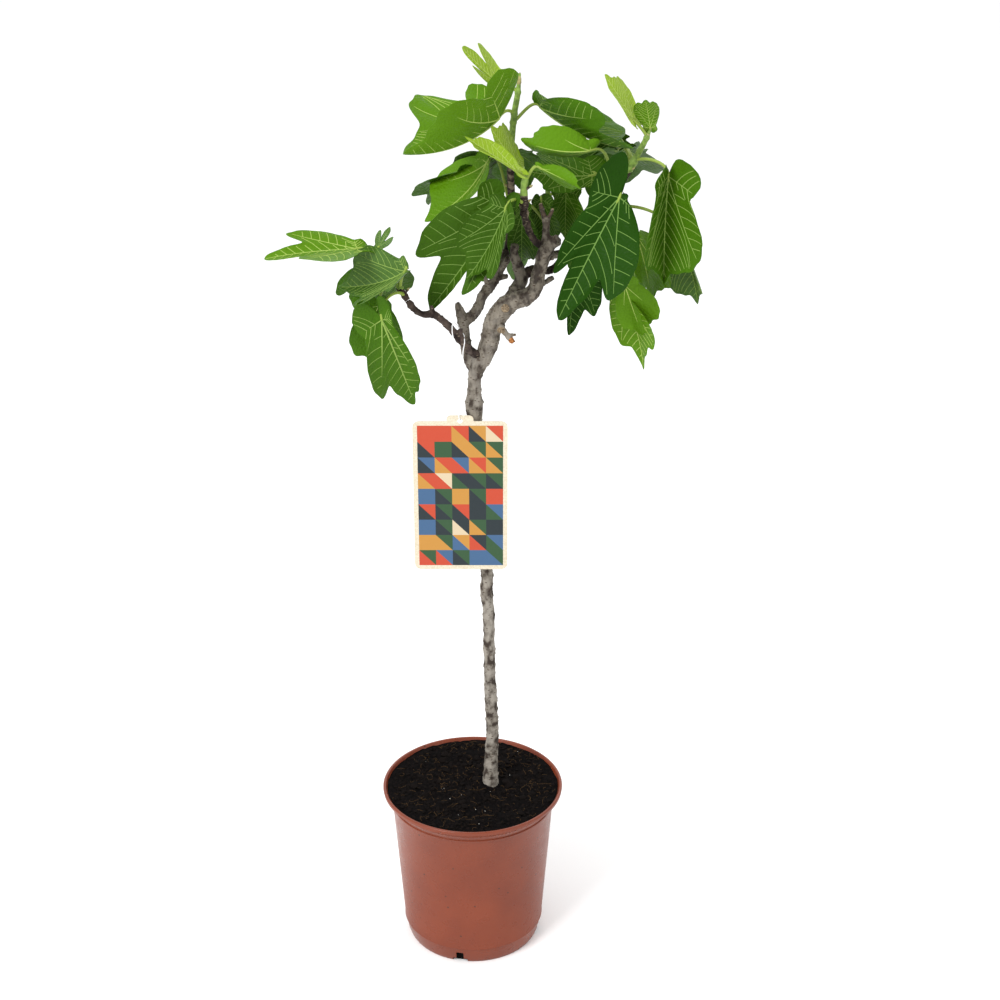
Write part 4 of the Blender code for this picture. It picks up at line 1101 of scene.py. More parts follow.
def column_angle(place):
    """Angle of a grid column, -1 to 1 across the blade: columns crowd together at the tip lobe."""
    share = COLUMN_EVEN * place + (1 - COLUMN_EVEN) * place * abs(place) ** 3
    return share * BLADE_OPENING


print("A blade opens by", round(math.degrees(2 * BLADE_OPENING)), "degrees in all")

# %% [markdown]
# These are the leaves that the picture shows, shoot by shoot, with the same values as the solids
# have. Each row gives where the leaf grows on its stem, the base and the tip of the blade, the
# way that the upper side faces, the form of its two halves, and its fold, bend and stalk arch.

# %% Shown leaves
SHOOT_STEMS = {
    "left_leaves": (
        (-0.0572, -0.0269, 0.7243, 0.0029), (-0.063, -0.025, 0.733, 0.0028),
        (-0.069, -0.022, 0.741, 0.0026), (-0.074, -0.020, 0.750, 0.0024),
        (-0.079, -0.018, 0.761, 0.0014),
    ),
    "top_leaves": (
        (0.0362, 0.0422, 0.7523, 0.0036), (0.038, 0.044, 0.765, 0.0034),
        (0.040, 0.042, 0.788, 0.0034), (0.040, 0.038, 0.804, 0.0036),
        (0.039, 0.032, 0.827, 0.0033), (0.039, 0.026, 0.850, 0.0028),
        (0.040, 0.021, 0.866, 0.0030), (0.042, 0.015, 0.889, 0.0028),
        (0.045, 0.010, 0.908, 0.0026), (0.047, 0.006, 0.928, 0.0010),
    ),
    "centre_leaves": (
        (0.0509, -0.0181, 0.8083, 0.0036), (0.051, -0.018, 0.818, 0.0037),
        (0.051, -0.018, 0.829, 0.0032), (0.053, -0.018, 0.842, 0.0013),
    ),
    "right_leaves": (
        (0.1182, 0.0339, 0.7803, 0.0031), (0.126, 0.031, 0.793, 0.0032),
        (0.143, 0.022, 0.825, 0.0036), (0.150, 0.020, 0.838, 0.0034),
        (0.155, 0.018, 0.848, 0.0032), (0.162, 0.014, 0.863, 0.0026),
        (0.167, 0.010, 0.876, 0.0012),
    ),
    "low_right_leaves": (
        (0.1203, 0.0562, 0.7681, 0.0026), (0.128, 0.060, 0.773, 0.0026),
        (0.137, 0.060, 0.782, 0.0024), (0.145, 0.058, 0.792, 0.0014),
    ),
    "back_leaves": (
        (0.0741, 0.0482, 0.7523, 0.0031), (0.076, 0.056, 0.764, 0.0031),
        (0.076, 0.062, 0.782, 0.0029), (0.075, 0.066, 0.802, 0.0026),
        (0.074, 0.068, 0.818, 0.0014),
    ),
}

SHOWN_LEAVES = {
    "left_leaves": (
        Leaf(0.95, (-0.104, -0.010, 0.769), (-0.190, -0.035, 0.768), (0.1, -0.2, 1.0),
             (0.95, 0.42, 0.30), (0.52, 0.35, 0.25), 20, 0.1, 0.1),
        Leaf(0.90, (-0.084, -0.008, 0.770), (-0.073, 0.000, 0.787), (0.0, -0.8, 0.6),
             (0.60, 0.55, 0.35), (0.65, 0.60, 0.35), 5, 0.3, 0.1),
        Leaf(0.30, (-0.058, -0.042, 0.757), (-0.122, -0.020, 0.734), (-0.5, -0.6, 0.6),
             (1.10, 0.25, 0.50), (0.85, 0.10, 0.25), 40, -0.9, 0.5),
        Leaf(0.55, (-0.084, -0.028, 0.719), (-0.082, -0.014, 0.648), (0.1, 1.0, 0.2),
             (0.70, 0.15, 0.50), (0.55, 0.15, 0.35), -20, 0.2, 0.4),
        Leaf(0.12, (-0.080, -0.054, 0.714), (-0.053, -0.010, 0.614), (-0.3, 0.9, 0.3),
             (0.50, 0.25, 0.50), (0.22, 0.05, 0.45), -20, -0.4, 0.5),
    ),
    "top_leaves": (
        Leaf(0.90, (0.029, 0.010, 0.917), (-0.005, -0.005, 0.954), (0.7, -0.5, 0.5),
             (0.30, 0.75, 0.20), (0.85, 0.55, 0.50), -5, -0.2, 0.2),
        Leaf(0.78, (0.028, 0.000, 0.889), (-0.060, -0.040, 0.867), (-0.3, 0.1, 0.9),
             (1.15, 0.10, 0.60), (1.30, 0.20, 0.40), 40, -0.9, 0.3),
        Leaf(0.74, (0.066, 0.020, 0.895), (0.151, -0.006, 0.860), (0.4, 0.2, 0.9),
             (0.90, 0.00, 0.25), (0.80, 0.25, 0.25), 35, -0.6, 0.1),
        Leaf(0.22, (0.017, 0.038, 0.838), (-0.043, 0.024, 0.787), (0.5, 0.3, -0.8),
             (0.90, 0.10, 0.25), (0.70, 0.05, 0.30), -20, 0.9, 0.3),
    ),
    "centre_leaves": (
        Leaf(0.75, (0.066, -0.018, 0.847), (0.104, -0.028, 0.829), (0.4, 0.8, 0.4),
             (0.80, 0.05, 0.35), (0.40, 0.05, 0.30), 35, 0.2, 0.3),
        Leaf(0.85, (0.045, -0.030, 0.847), (-0.003, -0.035, 0.879), (0.5, -0.5, 0.7),
             (0.65, 0.05, 0.35), (0.35, 0.05, 0.35), 40, 0.1, 0.1),
        Leaf(0.80, (0.045, -0.002, 0.845), (0.021, -0.018, 0.885), (0.8, -0.6, 0.2),
             (0.25, 0.10, 0.35), (0.80, 0.10, 0.35), -15, -0.2, 0.1),
        Leaf(0.15, (0.030, -0.016, 0.810), (-0.040, -0.004, 0.706), (-0.5, -0.8, 0.2),
             (0.45, 0.45, 0.40), (0.65, 0.30, 0.35), 30, -0.4, 0.1),
        Leaf(0.20, (0.034, -0.040, 0.815), (-0.003, -0.026, 0.742), (-0.6, -0.8, 0.2),
             (0.90, 0.20, 0.50), (0.65, 0.15, 0.35), 40, -0.6, 0.3),
    ),
    "right_leaves": (
        Leaf(0.08, (0.138, -0.024, 0.821), (0.082, -0.045, 0.709), (0.0, -1.0, 0.2),
             (0.60, 0.30, 0.10), (0.42, 0.35, 0.65), 25, -0.6, 0.5),
        Leaf(0.62, (0.184, -0.003, 0.835), (0.184, 0.008, 0.725), (0.1, -1.0, -0.1),
             (0.80, 0.05, 0.50), (0.80, 0.10, 0.35), 60, -0.4, 0.25),
        Leaf(0.90, (0.151, 0.010, 0.885), (0.123, 0.006, 0.927), (0.8, -0.4, 0.5),
             (0.35, 0.10, 0.35), (0.75, 0.10, 0.40), 5, 0.1, 0.1),
        Leaf(0.88, (0.167, 0.012, 0.877), (0.160, -0.010, 0.907), (0.0, -0.8, -0.6),
             (0.60, 0.00, 0.35), (0.50, 0.00, 0.35), -20, -0.4, 0.1),
        Leaf(0.28, (0.111, -0.012, 0.862), (0.047, -0.014, 0.873), (0.1, 0.9, 0.5),
             (0.60, 0.05, 0.30), (1.05, 0.05, 0.45), 40, -0.9, 0.1),
    ),
    "low_right_leaves": (
        Leaf(0.30, (0.147, 0.004, 0.729), (0.166, 0.014, 0.675), (-0.1, 1.0, 0.2),
             (0.50, 0.10, 0.35), (0.75, 0.10, 0.35), -20, 0.1, 0.2),
        Leaf(0.80, (0.161, 0.035, 0.766), (0.177, 0.042, 0.703), (0.6, 0.7, 0.3),
             (0.35, 0.10, 0.40), (0.90, 0.10, 0.35), -15, 0.1, 0.2),
        Leaf(0.10, (0.143, 0.024, 0.720), (0.170, 0.024, 0.637), (-0.7, -0.7, -0.2),
             (0.60, 0.15, 0.35), (0.45, 0.15, 0.40), 20, -0.5, 0.2),
        Leaf(0.95, (0.200, 0.034, 0.767), (0.221, 0.030, 0.702), (-0.7, -0.7, -0.2),
             (0.85, 0.05, 0.35), (0.70, 0.05, 0.35), 40, -0.3, 0.2),
        Leaf(0.15, (0.109, 0.018, 0.748), (0.097, 0.020, 0.672), (0.5, -0.9, -0.1),
             (0.60, 0.25, 0.35), (0.80, 0.30, 0.50), 40, -0.7, 0.3),
    ),
    "back_leaves": (
        Leaf(0.30, (0.050, 0.018, 0.796), (0.050, 0.042, 0.739), (-0.1, -0.9, -0.4),
             (0.50, 0.10, 0.35), (0.40, 0.10, 0.35), 30, 0.6, 0.2),
        Leaf(0.55, (0.068, 0.036, 0.803), (0.072, 0.054, 0.754), (-0.1, -0.9, -0.4),
             (0.70, 0.10, 0.45), (0.65, 0.10, 0.35), 40, -0.2, 0.2),
        Leaf(0.70, (0.092, 0.056, 0.806), (0.092, 0.066, 0.758), (0.0, -0.9, -0.5),
             (0.85, 0.10, 0.45), (0.85, 0.10, 0.45), 40, 0.1, 0.2),
        Leaf(0.95, (0.116, 0.046, 0.824), (0.055, 0.016, 0.836), (0.5, -0.7, 0.5),
             (0.40, 0.15, 0.50), (0.70, 0.15, 0.50), -20, -0.7, 0.2),
    ),
}
print("Shown leaves:", sum(len(rows) for rows in SHOWN_LEAVES.values()))

# %% [markdown]
# The far side of the crown doesn't show, so its leaves follow a rule. Each shoot tries places
# turned by the golden angle, as a plant does, and keeps the leaves that stay inside its space
# and clear of the limbs. The seeds are the ones that the solids have, so the leaves are too.

# %% Far leaves
FAR_LEAVES = {
    "left_leaves": (2, 37, (-0.130, 0.000, 0.650), (-0.040, 0.080, 0.775)),
    "top_leaves": (4, 116, (-0.070, 0.045, 0.770), (0.085, 0.175, 0.900)),
    "right_leaves": (3, 14, (0.088, 0.058, 0.766), (0.235, 0.185, 0.862)),
    "low_right_leaves": (3, 45, (0.092, 0.066, 0.665), (0.215, 0.165, 0.762)),
    "back_leaves": (3, 57, (-0.030, 0.074, 0.670), (0.090, 0.185, 0.790)),
}
FAR_AT = (0.25, 0.95)
FAR_REACH = (0.030, 0.055)
FAR_RISE = (-0.030, 0.015)
FAR_DROOP = (0.5, 1.3)
FAR_LENGTH = (0.062, 0.088)
FAR_SWAY = (-0.2, 0.2)
FAR_WIDTH = (0.70, 0.85)
FAR_SINUS = (0.10, 0.40)
FAR_FOLD = (-10, 14)
FAR_HEEL = 0.32
FAR_BEND = 0.4
FAR_ARCH = 0.2
FAR_TRIES = 400
FAR_CLEAR = 0.014
LIMB_CLEAR = 0.004
FAR_TESTS = tuple(math.radians(angle) for angle in (-110, -45, 0, 45, 110))


def limb_clearance(point):
    """Distance from a point to the nearest limb's surface."""
    nearest = 1.0
    for limb, stubs in LIMBS.values():
        for start, end in zip(limb, limb[1:]):
            a, b = Vector(start[:3]), Vector(end[:3])
            share = max(0.0, min(1.0, (point - a).dot(b - a) / (b - a).length_squared))
            nearest = min(nearest, (point - a.lerp(b, share)).length - start[3])
    return nearest


def far_leaves(name, stem):
    """Leaves for the far side of a shoot, turned by the golden angle, that keep to its space."""
    if name not in FAR_LEAVES:
        return []
    wanted, seed, lowest, highest = FAR_LEAVES[name]
    rule = random.Random(seed)
    kept = []
    middles = []
    for turn in range(FAR_TRIES):
        if len(kept) == wanted:
            break
        at = rule.uniform(*FAR_AT)
        root = stem[round(at * (len(stem) - 1))].to_3d()
        azimuth = turn * GOLDEN_ANGLE
        out = Vector((math.cos(azimuth), math.sin(azimuth), 0))
        base = root + out * rule.uniform(*FAR_REACH) + Vector((0, 0, rule.uniform(*FAR_RISE)))
        droop = rule.uniform(*FAR_DROOP)
        downhill = out * math.cos(droop) - Vector((0, 0, math.sin(droop)))
        tip = base + downhill * rule.uniform(*FAR_LENGTH)
        face = out * math.sin(droop) + Vector((rule.uniform(*FAR_SWAY), 0, math.cos(droop)))
        half = (rule.uniform(*FAR_WIDTH), rule.uniform(*FAR_SINUS), FAR_HEEL)
        fold = rule.uniform(*FAR_FOLD)
        leaf = Leaf(at, tuple(base), tuple(tip), tuple(face), half, half, fold, FAR_BEND, FAR_ARCH)
        places = [blade_margin(leaf, angle, share) for share in (0.5, 1.0) for angle in FAR_TESTS]
        inside = all(
            low <= value <= high for p in places for value, low, high in zip(p, lowest, highest)
        )
        middle = blade_point(leaf, 0.5, 0.0)
        if not inside or min(limb_clearance(p) for p in places) < LIMB_CLEAR:
            continue
        if any((middle - other).length < FAR_CLEAR for other in middles):
            continue
        kept.append(leaf)
        middles.append(middle)
    return kept


print("Far leaves wanted:", sum(row[0] for row in FAR_LEAVES.values()))

# %% [markdown]
# ## Veins
#
# Five main veins fan out from the stalk, and side veins leave them like the barbs of a feather.
# They are real ridges: thin tubes laid in the blade, which is so thin that they stand a little
# proud on both its sides. A vein is drawn on the flat outline first and then laid on the folded,
# bent and rippled blade.

# %% Veins
GROWN_LENGTH = 0.100
VEIN_ANGLES = (
    (0, 0.97, 0.0011), (38, 0.94, 0.0008), (-38, 0.94, 0.0008), (88, 0.90, 0.0007),
    (-88, 0.90, 0.0007),
)
VEIN_STEPS = 14
VEIN_TAPER = 0.72
VEIN_MARGIN = 0.975
MIDRIB_ANGLE = 0.0001
SIDE_VEINS = (
    (0, 0.10, 9, 0.092, (-1, 1)),
    (38, 0.16, 6, 0.125, (1,)),
    (-38, 0.16, 6, 0.125, (-1,)),
    (88, 0.30, 3, 0.20, (-1, 1)),
    (-88, 0.30, 3, 0.20, (-1, 1)),
)
SIDE_VEIN_SHIFT = 0.03
SIDE_VEIN_TURN = math.radians(60)
SIDE_VEIN_CURL = math.radians(58)
SIDE_VEIN_STEP = 0.025
SIDE_VEIN_MOST = 26
SIDE_VEIN_RADIUS = 0.00044
SIDE_VEIN_TAPER = 0.02
SECTORS = {0: (-36, 36), 38: (40, 68), 88: (68, 150)}


def leaf_length(leaf):
    """Length of a leaf's blade in metres, from base to tip."""
    return (Vector(leaf.tip) - Vector(leaf.base)).length


def leaf_size(leaf):
    """Size of a leaf against a full-grown one."""
    return min(1.0, leaf_length(leaf) / GROWN_LENGTH)


def main_vein(leaf, degrees, share, radius):
    """Flat path of a main vein: straight out from the stalk, thinning to the margin."""
    angle = math.radians(degrees)
    reach = blade_reach(angle or MIDRIB_ANGLE, leaf) * share
    path = []
    for i in range(VEIN_STEPS + 1):
        t = i / VEIN_STEPS
        u, v = reach * t * math.cos(angle), reach * t * math.sin(angle)
        path.append((u, v, radius * (1 - VEIN_TAPER * t)))
    return path


def side_vein(leaf, degrees, start, side):
    """Flat path of a side vein, which curls towards the tip and stops at the margin or a vein."""
    own = math.radians(degrees)
    reach = blade_reach(own or MIDRIB_ANGLE, leaf)
    u, v = reach * start * math.cos(own), reach * start * math.sin(own)
    squeeze = (leaf.left if v > 0 or (degrees == 0 and side > 0) else leaf.right)[0]
    path = [(u, v, SIDE_VEIN_RADIUS)]
    low, high = SECTORS[abs(degrees)]
    for i in range(SIDE_VEIN_MOST):
        heading = own + side * (SIDE_VEIN_TURN - SIDE_VEIN_CURL * i / SIDE_VEIN_MOST)
        u += math.cos(heading) * SIDE_VEIN_STEP
        v += math.sin(heading) * SIDE_VEIN_STEP / squeeze
        angle = math.atan2(v, u)
        measured = math.degrees(angle) if degrees >= 0 else -math.degrees(angle)
        limit = blade_reach(angle, leaf) * VEIN_MARGIN
        if not low < measured < high or math.hypot(u, v) > limit:
            break
        path.append((u, v, SIDE_VEIN_RADIUS * (1 - SIDE_VEIN_TAPER * i)))
    return path


def leaf_veins(leaf):
    """All veins of a leaf as flat paths, the main ones first."""
    paths = [main_vein(leaf, *vein) for vein in VEIN_ANGLES]
    for degrees, first, count, step, sides in SIDE_VEINS:
        for i in range(count):
            for side in sides:
                start = first + step * i + (SIDE_VEIN_SHIFT if side > 0 else 0)
                path = side_vein(leaf, degrees, start, side)
                if len(path) > 1:
                    paths.append(path)
    return paths


print("A full-grown leaf is", GROWN_LENGTH, "m long")

# %% [markdown]
# The veins have to follow the blade wherever it goes, so its ripple is a function that both the
# veins and the blade call. The ripple grows towards the margin and is almost nothing on the inner
# half of the blade.

# %% Ripples and laid veins
RIPPLE_HEIGHT = 0.0026
RIPPLE_COUNT = 5.5
VEIN_PROUD = 0.00036


def margin_ripple(leaf, u, v, phase):
    """How far the blade waves up or down at a flat place: nothing inside, most at the margin."""
    angle = math.atan2(v, u)
    share = min(1.0, math.hypot(u, v) / blade_reach(angle, leaf))
    return RIPPLE_HEIGHT * leaf_size(leaf) * share ** 4 * math.sin(angle * RIPPLE_COUNT + phase)


def laid_vein(leaf, path, phase):
    """A flat path laid on the rippled blade, sunk until it stands proud by a set height."""
    laid = []
    size = leaf_size(leaf)
    for u, v, radius in path:
        thick = radius * size
        lift = margin_ripple(leaf, u, v, phase) + VEIN_PROUD * size - thick
        place = blade_point(leaf, u, v * half_width(leaf, v), lift)
        laid.append((*place, thick))
    return laid


print("The first leaf has", len(leaf_veins(SHOWN_LEAVES["left_leaves"][0])), "veins")

# %% [markdown]
# ## Blades
#
# A blade is a grid wrapped round the end of the stalk like a fan and pulled out to the margin.
# Between the veins it puffs up a little, and its margin ripples and is finely scalloped. It gets
# its thickness at the end, with the paler finish on the underside.

# %% Blades
BLADE_COLUMNS = 116
BLADE_ROWS = 26
BLADE_THICKNESS = 0.00036
ROW_EASE = 0.8
PUFF_HEIGHT = 0.0009
PUFF_WIDTH = 0.0050
SCALLOP_DEPTH = 0.012
SCALLOP_COUNT = 26
VEIN_SAMPLES = (0.0, 0.33, 0.67)


def vein_finder(leaf, paths):
    """A search tree of places along the veins, in metres on the flat blade."""
    length = leaf_length(leaf)
    places = []
    for path in paths:
        for (u, v, _), (next_u, next_v, _) in zip(path, path[1:]):
            for t in VEIN_SAMPLES:
                across = v + (next_v - v) * t
                along = (u + (next_u - u) * t) * length
                places.append((along, across * half_width(leaf, across), 0))
    tree = kdtree.KDTree(len(places))
    for i, place in enumerate(places):
        tree.insert(place, i)
    tree.balance()
    return tree


def blade_shape(leaf, paths, phase):
    """One blade without thickness: puffed between its veins, with a rippled margin."""
    shape = bmesh.new()
    bmesh.ops.create_grid(shape, x_segments=BLADE_COLUMNS, y_segments=BLADE_ROWS, size=1)
    tree = vein_finder(leaf, paths)
    length = leaf_length(leaf)
    size = leaf_size(leaf)
    for vert in shape.verts:
        angle = column_angle(vert.co.x)
        share = ((vert.co.y + 1) / 2) ** ROW_EASE
        scallop = 1 + SCALLOP_DEPTH * math.sin(angle * SCALLOP_COUNT + phase) * share ** 6
        reach = blade_reach(angle, leaf) * share * scallop
        u, v = reach * math.cos(angle), reach * math.sin(angle)
        across = v * half_width(leaf, v)
        away = tree.find((u * length, across, 0))[2]
        puff = PUFF_HEIGHT * size * (1 - math.exp(-(away / (PUFF_WIDTH * size)) ** 2))
        vert.co = blade_point(leaf, u, across, puff + margin_ripple(leaf, u, v, phase))
    bmesh.ops.remove_doubles(shape, verts=shape.verts, dist=WELD)
    facing = blade_frame(leaf)[2]
    shape.normal_update()
    total = sum((face.normal * face.calc_area() for face in shape.faces), Vector())
    if total.dot(facing) < 0:
        bmesh.ops.reverse_faces(shape, faces=shape.faces)
    return shape


print("A blade's grid has", BLADE_COLUMNS, "by", BLADE_ROWS, "fields")

# %% [markdown]
# ## Leaf colours
#
# Young leaves are bright yellow green, grown ones deep green, and where the light glances off
# the upper side they look greyer. The underside is paler, and the veins are paler still. Each
# leaf gets one plain colour above and one below, so the colour belongs to the leaf and not to a
# pattern, and fine noise gives the skin its rough, slightly felted relief. The grey shade is the
# exception: its upper colour is painted sheen, a paler and bluer green that stands in for the
# pale studio glancing off the upper side, so that colour is not the leaf's own.

# %% Leaf finishes
SHADES = {
    "young": ((0.25, 0.38, 0.024), (0.31, 0.45, 0.035), (0.42, 0.53, 0.13), 0.12),
    "fresh": ((0.080, 0.190, 0.003), (0.120, 0.245, 0.006), (0.34, 0.46, 0.10), 0.10),
    "mid": ((0.046, 0.125, 0.003), (0.057, 0.132, 0.003), (0.22, 0.33, 0.070), 0.10),
    # The grey upper colour is painted sheen: a greyer, bluer green for the glancing studio light.
    "grey": ((0.058, 0.130, 0.018), (0.058, 0.135, 0.004), (0.24, 0.35, 0.080), 0.22),
    "deep": ((0.033, 0.086, 0.003), (0.050, 0.120, 0.003), (0.15, 0.25, 0.050), 0.08),
    "dark": ((0.012, 0.048, 0.002), (0.045, 0.110, 0.003), (0.13, 0.24, 0.050), 0.05),
}
SHADE_NAMES = tuple(SHADES)
TOP_ROUGHNESS = 0.48
BACK_ROUGHNESS = 0.62
VEIN_ROUGHNESS = 0.60
BACK_SHEEN = 0.12


def leaf_finish(name, colour, roughness, sheen):
    """One side of a leaf: plain colour, relief of small net veins and slightly uneven gloss."""
    made = new_finish(name, colour, roughness, sheen)
    vary_gloss(made, noise_field(made, 120, 3), roughness - 0.08, roughness + 0.10)
    emboss(made, spot_field(made, 420), 0.0008, 0.6)
    return made


leaf_tops = []
leaf_backs = []
vein_finishes = []
for name, (above, below, rib, sheen) in SHADES.items():
    leaf_tops.append(leaf_finish("leaf_top_" + name, above, TOP_ROUGHNESS, sheen))
    leaf_backs.append(leaf_finish("leaf_back_" + name, below, BACK_ROUGHNESS, BACK_SHEEN))
    vein_finishes.append(leaf_finish("leaf_vein_" + name, rib, VEIN_ROUGHNESS, BACK_SHEEN))
print("Leaf shades:", SHADE_NAMES)

# %% [markdown]
# ## Shoots
#
# Each leafy shoot is a green stem with a ring at every leaf, a stalk to each blade, small buds in
# the angles above the stalks, short side twigs and one long pointed bud at the end.

# %% Stalks and stems
PETIOLE_STEPS = 12
PETIOLE_SUNK = 0.0006
STEM_SPACING = 0.0015
NODE_SWELL = 0.0007
NODE_WIDTH = 0.0016


def stem_place(stem, at):
    """The place at a share of a stem's length."""
    place = at * (len(stem) - 1)
    low = min(int(place), len(stem) - 2)
    return stem[low].lerp(stem[low + 1], place - low).to_3d()


def petiole_path(leaf, stem):
    """The stalk's path from inside the stem, over its arch, into the underside of the blade."""
    root = stem_place(stem, leaf.at)
    base = Vector(leaf.base)
    inner = blade_point(leaf, PETIOLE_END, 0.0, -PETIOLE_SUNK)
    heading = (inner - base).normalized()
    span = (base - root).length
    rise = Vector((0, 0, span * leaf.arch))
    first = root + (base - root) * PETIOLE_EASE + rise
    second = base - heading * span * PETIOLE_EASE + rise * PETIOLE_DROOP
    path = []
    for step in range(PETIOLE_STEPS + 1):
        t = step / PETIOLE_STEPS
        outer = root.lerp(first, t).lerp(first.lerp(second, t), t)
        point = outer.lerp(first.lerp(second, t).lerp(second.lerp(base, t), t), t)
        path.append((*point, PETIOLE_RADIUS * (PETIOLE_FOOT + (1 - PETIOLE_FOOT) * t)))
    path.append((*inner, PETIOLE_RADIUS / 2))
    return path


def stem_with_nodes(knots, stem, leaves):
    """The stem's fine path, swollen where each leaf grows."""
    path = smooth_path(knots, spacing=STEM_SPACING)
    for leaf in leaves:
        swell(path, stem_place(stem, leaf.at), NODE_SWELL, NODE_WIDTH)
    return path


print("A stalk has", PETIOLE_STEPS + 2, "rings")

# %% [markdown]
# A bud is a tube whose radius follows one short profile. Each stalk carries a green bud in the
# angle above it, and each side twig ends in a dry one. The numbers of the finishes are named
# here, because every tube of a shoot is given one of them.

# %% Buds and side twigs
BUD_PROFILE = ((0.0, 0.55), (0.25, 1.0), (0.5, 0.85), (0.75, 0.5), (1.0, 0.08))
BUD_SIDES = 8
BUD_LENGTH = 0.0042
BUD_RADIUS = 0.0015
BUD_LEAN = 0.6
BUD_OUT = 0.001
PETIOLE_SIDES = 10
SPUR_CLIMB = 0.7
SPUR_RADIUS = 0.0013
SPUR_TAPER = 0.0002
SPUR_BUD_AT = 0.9
SPUR_BUD_SIZE = 0.9
STEM_WOOD, STEM_GREEN, SHEATH, PETIOLE_GREEN, BUD_GREEN = range(5)


def bud_path(root, heading, length, radius):
    """A pointed bud from inside the stem."""
    return [(*(root + heading * length * t), radius * width) for t, width in BUD_PROFILE]


def add_stalk(shape, leaf, stem):
    """A leaf's stalk, with a bud in the angle above it."""
    path = petiole_path(leaf, stem)
    add_tube(shape, path, PETIOLE_SIDES, PETIOLE_GREEN)
    root = Vector(path[0][:3])
    away = (Vector(path[2][:3]) - root).normalized()
    heading = (away * BUD_LEAN + Vector((0, 0, 1))).normalized()
    bud = bud_path(root + away * BUD_OUT, heading, BUD_LENGTH, BUD_RADIUS)
    add_tube(shape, bud, BUD_SIDES, BUD_GREEN)


def add_spur(shape, root, turn, reach):
    """A short woody side twig with a bud at its end."""
    heading = Vector((math.cos(turn), math.sin(turn), SPUR_CLIMB)).normalized()
    twig = [
        (*(root + heading * reach * t), SPUR_RADIUS - SPUR_TAPER * t) for t in (0.0, 0.5, 0.8, 1.0)
    ]
    add_tube(shape, twig, BUD_SIDES, STEM_WOOD)
    end = root + heading * reach * SPUR_BUD_AT
    bud = bud_path(end, heading, BUD_LENGTH, BUD_RADIUS * SPUR_BUD_SIZE)
    add_tube(shape, bud, BUD_SIDES, SHEATH)


print("A side twig is", 2 * SPUR_RADIUS, "m thick")

# %% [markdown]
# All of it meets in one mesh for each shoot. The stem comes first, and its faces below a set
# height are given back their bark. The stalks, the side twigs and the long end bud follow.

# %% Whole shoots
STEM_SIDES = 16
STEM_STEPS = 2
TIP_BUD_LENGTH = 0.012
TIP_BUD_RADIUS = 0.0023
TIP_BUD_PROUD = 1.1
TIP_BUD_SIDES = 10
SPURS = 3
SPUR_PLACES = (0.15, 0.2)
SPUR_LENGTH = (0.004, 0.009)
SPUR_SEED = 7
GREEN_FROM = {
    "left_leaves": 0.735,
    "top_leaves": 0.846,
    "centre_leaves": 0.822,
    "right_leaves": 0.834,
    "low_right_leaves": 0.778,
    "back_leaves": 0.790,
}


def shoot_shape(name, leaves):
    """Stem, stalks, buds and side twigs of one shoot."""
    knots = SHOOT_STEMS[name]
    stem = smooth_path(knots, steps=STEM_STEPS)
    rule = random.Random(len(name) * SPUR_SEED)
    shape = bmesh.new()
    fine = stem_with_nodes(knots, stem, leaves)
    add_tube(shape, fine, STEM_SIDES, STEM_GREEN)
    for face in shape.faces:
        if face.calc_center_median().z < GREEN_FROM[name]:
            face.material_index = STEM_WOOD
    for leaf in leaves:
        add_stalk(shape, leaf, stem)
    first, gap = SPUR_PLACES
    for i in range(SPURS):
        root = fine[round((first + gap * i) * (len(fine) - 1))].to_3d()
        turn = i * GOLDEN_ANGLE + rule.uniform(0, 1)
        add_spur(shape, root, turn, rule.uniform(*SPUR_LENGTH))
    top = fine[-1].to_3d()
    climb = (top - fine[-5].to_3d()).normalized()
    root = top - climb * TIP_BUD_LENGTH
    bud = bud_path(root, climb, TIP_BUD_LENGTH * TIP_BUD_PROUD, TIP_BUD_RADIUS)
    add_tube(shape, bud, TIP_BUD_SIDES, SHEATH)
    close_tubes(shape)
    return shape


print("Stems are green above", GREEN_FROM)

# %% [markdown]
# A young stem is green with darker flecks, and a stalk is a clear yellow green with a soft gloss.
# The sheath of the bud at the end of a stem or twig is dry and straw coloured. Below its green
# part the stem has the same brown bark as the young boughs.

# %% Shoot finishes
green_stem = grained_finish(
    "green_stem", (0.17, 0.27, 0.045), 0.6, (900, 3, 0.0003, 0.6), grain=(260, 4),
    tones=((0.32, (0.10, 0.17, 0.030)), (0.65, (0.22, 0.34, 0.060))),
)
sheath_finish = grained_finish(
    "bud_sheath", (0.34, 0.27, 0.11), 0.65, (900, 3, 0.0003, 0.6), grain=(300, 3),
    tones=((0.30, (0.16, 0.13, 0.05)), (0.65, (0.40, 0.36, 0.15))),
)
petiole_finish = grained_finish("leaf_stalk", (0.24, 0.33, 0.050), 0.5, (900, 3, 0.0002, 0.5))
vary_gloss(petiole_finish, noise_field(petiole_finish, 200, 3), 0.42, 0.62)
bud_finish = grained_finish("green_bud", (0.13, 0.20, 0.040), 0.6, (900, 3, 0.0002, 0.5))
SHOOT_FINISHES = [brown_bark, green_stem, sheath_finish, petiole_finish, bud_finish]
print("A shoot has", len(SHOOT_FINISHES), "finishes")

# %% [markdown]
# Every shown leaf has its own shade, and the leaves of the far side take turns through the
# grown ones. The blades of a shoot are joined into one piece and its veins into another.

# %% Grown shoots
# Leaves given the grey shade have the glancing sheen painted into their upper colour.
SHOWN_SHADES = {
    "left_leaves": ("fresh", "grey", "grey", "mid", "mid"),
    "top_leaves": ("young", "fresh", "mid", "fresh"),
    "centre_leaves": ("fresh", "young", "young", "deep", "deep"),
    "right_leaves": ("dark", "mid", "young", "fresh", "fresh"),
    "low_right_leaves": ("fresh", "fresh", "fresh", "grey", "dark"),
    "back_leaves": ("deep", "deep", "mid", "mid"),
}
FAR_SHADES = ("mid", "deep", "grey", "mid")
PHASE_STEP = 1.7
MAIN_VEIN_SIDES = 8
SIDE_VEIN_SIDES = 5


